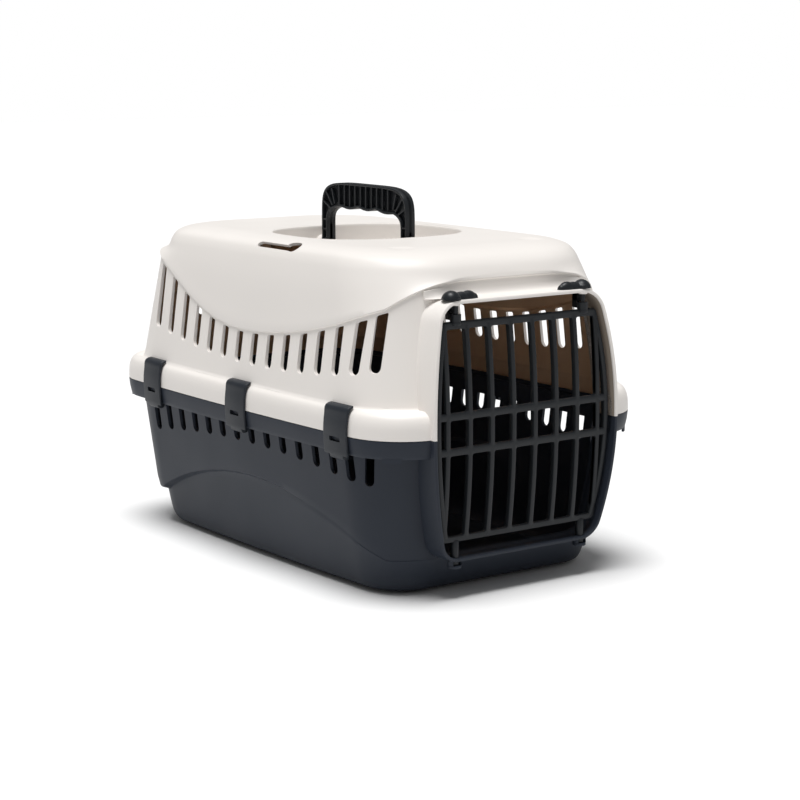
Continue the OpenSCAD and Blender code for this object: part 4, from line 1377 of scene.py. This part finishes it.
def plate(line, width, e):
    """A closed outline in XZ run along Y, with softened ends."""
    c = np.array(line)
    verts, rings = [], soft(-width / 2, width / 2, e)
    for shrink, y in rings:
        verts += [(p[0], y, p[1]) for p in inset_line(c, shrink * 0.55)]
    faces = bands(len(rings), len(line)) + ends(len(rings), len(line))
    return verts, flipped(faces) if signed_area(c) > 0 else faces


def clip_plate(s):
    """The plate of a clip in its own frame: X out from the rim line, Z up."""
    z, g, t, top = s.z0, 0.4, 2.2, s.ledge_top
    low = z - SKIRT
    inner = [(-1.0, low + 0.5), (-0.1, z - 7), (g, z), (g - 0.7, z + 12.8), (g - 2.2, top - 3.2 + g)]
    inner += [(g - 4.2, top - 0.2 + g), (-5.6, top + g + 0.2)]
    outer = [(g - 3.2, top + g + t - 0.4), (g - 0.4, top - 1.6 + t), (g + t - 1, z + 15), (g + t, z)]
    outer += [(g + t - 0.5, z - 7), (g + t - 1.2, low - 0.4)]
    line = [(-1.0, low - 1.0)] + smooth_line(inner, 3) + [(-5.6, top + g + t)] + smooth_line(outer, 4)
    line += [(g + t - 1.7, low - 1.5), (-0.4, low - 1.6)]
    return plate(line, 31.0, 0.8)


def clip_arm(s):
    """The narrow arm from the plate's foot to the pin under the skirt."""
    low = s.z0 - SKIRT
    pin_z = low - PIN_DROP
    line = [(-0.6, low - 0.9), (1.1, low - 0.7), (0.2, pin_z - 1)]
    line += [(PIN_U + 2.2, pin_z - KNUCKLE + 0.1), (PIN_U, pin_z - KNUCKLE)]
    line += arc(PIN_U, pin_z, KNUCKLE, -90, -270, 10)[1:]
    return plate(line, 18.0, 0.4)


def smooth_line(points, parts):
    p = np.array(points, float)
    rows = smooth_rows([q[None, :] for q in p], [parts] * (len(p) - 1))
    return [tuple(r[0]) for r in rows]


def inset_line(c, d):
    """A closed line moved inwards by d along its normals."""
    if d == 0:
        return c
    nxt, prv = np.roll(c, -1, axis=0), np.roll(c, 1, axis=0)
    t = nxt - prv
    t /= np.maximum(np.linalg.norm(t, axis=1), 1e-9)[:, None]
    nrm = np.column_stack([-t[:, 1], t[:, 0]]) * (1 if signed_area(c) > 0 else -1)
    return c + nrm * d


def build_clips():
    s = Shell()
    dark = material("keeper_clip")
    z = s.z0
    piece = new_object("clip_body", *clip_plate(s), None, (dark,), 40)
    cut(piece, prism(shifted(rounded_rect(14, 3.9, 0.8), 0, z - 3.65), "x", -2, 10))
    pin_z = z - SKIRT - PIN_DROP
    arm = new_object("clip_arm", *clip_arm(s), None, (dark,), 40)
    cut(arm, rod(KNUCKLE + 0.4, -3.4, 3.4, (PIN_U, 0, pin_z), "y", 0.1, 40))
    pin = new_object("pin", *rod(1.5, -5, 5, (PIN_U, 0, pin_z), "y", 0.2), None, (dark,))
    piece = joined("clip_one", [piece, arm, pin], sharp=40)
    names = ("rear", "middle", "front")
    for side, word in ((-1, "left"), (1, "right")):
        for k in range(3):
            ob = bpy.data.objects.new("clip_%s_%s_body" % (word, names[k]), piece.data.copy())
            bpy.context.scene.collection.objects.link(ob)
            m = clip_frame(s, side, k)
            scale = Matrix.Scale(0.001, 4)
            ob.data.transform(scale @ m @ scale.inverted())
            if side < 0:
                ob.data.flip_normals()
            shade(ob.data, 40)
            node = "clip_%s_%s" % (word, names[k])
            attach(ob, node)
            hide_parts(node)
    remove(piece)


# --------------------------------------------------------------------- stage


def sun(name, direction, strength, spread):
    data = bpy.data.lights.new(name, "SUN")
    data.energy, data.angle = strength, math.radians(spread)
    ob = bpy.data.objects.new(name, data)
    ob.rotation_euler = (-Vector(direction)).to_track_quat("-Z", "Y").to_euler()
    bpy.context.scene.collection.objects.link(ob)
    return ob


def build_floor():
    """A plain pale sheet, wide enough to fill the view."""
    d = FLOOR_HALF
    floor = new_object("floor", [(-d, -d, 0), (d, -d, 0), (d, d, 0), (-d, d, 0)], [(0, 1, 2, 3)])
    m = bpy.data.materials.new("studio_floor")
    m.use_nodes = True
    nodes, links = m.node_tree.nodes, m.node_tree.links
    bsdf = nodes["Principled BSDF"]
    tones = {6: (*(FLOOR_BOUNCE,) * 3, 1), 7: (*(FLOOR_SHOWN,) * 3, 1)}
    seen = added(nodes, "ShaderNodeMix", tones, data_type="RGBA")
    path = added(nodes, "ShaderNodeLightPath")
    links.new(path.outputs["Is Camera Ray"], seen.inputs["Factor"])
    links.new(seen.outputs[2], bsdf.inputs["Base Color"])
    bsdf.inputs["Roughness"].default_value = 0.7
    bsdf.inputs["Specular IOR Level"].default_value = 0.2
    floor.data.materials.append(m)


def build_world():
    """A white room that lights evenly and shows as plain white."""
    world = bpy.data.worlds.new("studio")
    bpy.context.scene.world = world
    world.use_nodes = True
    nodes, links = world.node_tree.nodes, world.node_tree.links
    nodes.clear()
    out, mix = added(nodes, "ShaderNodeOutputWorld"), added(nodes, "ShaderNodeMixShader")
    path = added(nodes, "ShaderNodeLightPath")
    links.new(path.outputs["Is Camera Ray"], mix.inputs["Fac"])
    for k, strength in enumerate((ROOM_LIGHT, 1.0)):
        light = added(nodes, "ShaderNodeBackground", {"Color": (1, 1, 1, 1), "Strength": strength})
        links.new(light.outputs[0], mix.inputs[k + 1])
    links.new(mix.outputs[0], out.inputs["Surface"])


def build_stage():
    scene = bpy.context.scene
    build_floor()
    build_world()
    sun("key", KEY_FROM, KEY_LIGHT, KEY_SPREAD)
    data = bpy.data.cameras.new("camera")
    data.lens = CAMERA_LENS
    data.clip_end = 50
    cam = bpy.data.objects.new("camera", data)
    cam.location = CAMERA_AT
    cam.rotation_euler = [math.radians(v) for v in CAMERA_TURN]
    scene.collection.objects.link(cam)
    scene.camera = cam
    scene.view_settings.view_transform = "Standard"


# ----------------------------------------------------------------- operators


class Builder:
    """What the operators share: each runs its build function."""

    def execute(self, context):
        self.build()
        return {"FINISHED"}


class KEEPER_OT_top_shell(Builder, bpy.types.Operator):
    """Builds the cream top shell"""

    bl_idname = "keeper.top_shell"
    bl_label = "Top shell"

    build = staticmethod(build_top_shell)


class KEEPER_OT_base_shell(Builder, bpy.types.Operator):
    """Builds the slate base shell"""

    bl_idname = "keeper.base_shell"
    bl_label = "Base shell"

    build = staticmethod(build_base_shell)


class KEEPER_OT_door(Builder, bpy.types.Operator):
    """Builds the barred door"""

    bl_idname = "keeper.door"
    bl_label = "Door"

    build = staticmethod(build_door)


class KEEPER_OT_latches(Builder, bpy.types.Operator):
    """Builds the two latch knobs"""

    bl_idname = "keeper.latches"
    bl_label = "Latch knobs"

    build = staticmethod(build_latches)


class KEEPER_OT_handle(Builder, bpy.types.Operator):
    """Builds the folding handle"""

    bl_idname = "keeper.handle"
    bl_label = "Handle"

    build = staticmethod(build_handle)


class KEEPER_OT_clips(Builder, bpy.types.Operator):
    """Builds the six side clips"""

    bl_idname = "keeper.clips"
    bl_label = "Side clips"

    build = staticmethod(build_clips)


class KEEPER_OT_stage(Builder, bpy.types.Operator):
    """Builds the floor, the lights and the camera"""

    bl_idname = "keeper.stage"
    bl_label = "Studio stage"

    build = staticmethod(build_stage)


class KEEPER_PT_panel(bpy.types.Panel):
    """Lists the carrier's pieces"""

    bl_idname = "KEEPER_PT_panel"
    bl_label = "Pet keeper"
    bl_space_type = "VIEW_3D"
    bl_region_type = "UI"
    bl_category = "Keeper"

    def draw(self, context):
        for name in GROUPS:
            box = self.layout.box()
            for key in getattr(context.scene, name).__annotations__:
                box.prop(getattr(context.scene, name), key)
        for op in OPERATORS:
            self.layout.operator(op.bl_idname)


OPERATORS = (
    KEEPER_OT_top_shell, KEEPER_OT_base_shell, KEEPER_OT_door, KEEPER_OT_latches,
    KEEPER_OT_handle, KEEPER_OT_clips, KEEPER_OT_stage,
)


def register():
    for c in (*GROUPS.values(), *OPERATORS, KEEPER_PT_panel):
        bpy.utils.register_class(c)
    for name, group in GROUPS.items():
        setattr(bpy.types.Scene, name, bpy.props.PointerProperty(type=group))


def unregister():
    for name in GROUPS:
        delattr(bpy.types.Scene, name)
    for c in (KEEPER_PT_panel, *reversed(OPERATORS), *reversed(tuple(GROUPS.values()))):
        bpy.utils.unregister_class(c)


def main():
    register()
    FRAME.update(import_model())
    bpy.ops.keeper.top_shell()
    bpy.ops.keeper.base_shell()
    bpy.ops.keeper.door()
    bpy.ops.keeper.latches()
    bpy.ops.keeper.handle()
    bpy.ops.keeper.clips()
    bpy.ops.keeper.stage()
    bpy.context.view_layer.update()


if __name__ == "__main__":
    main()
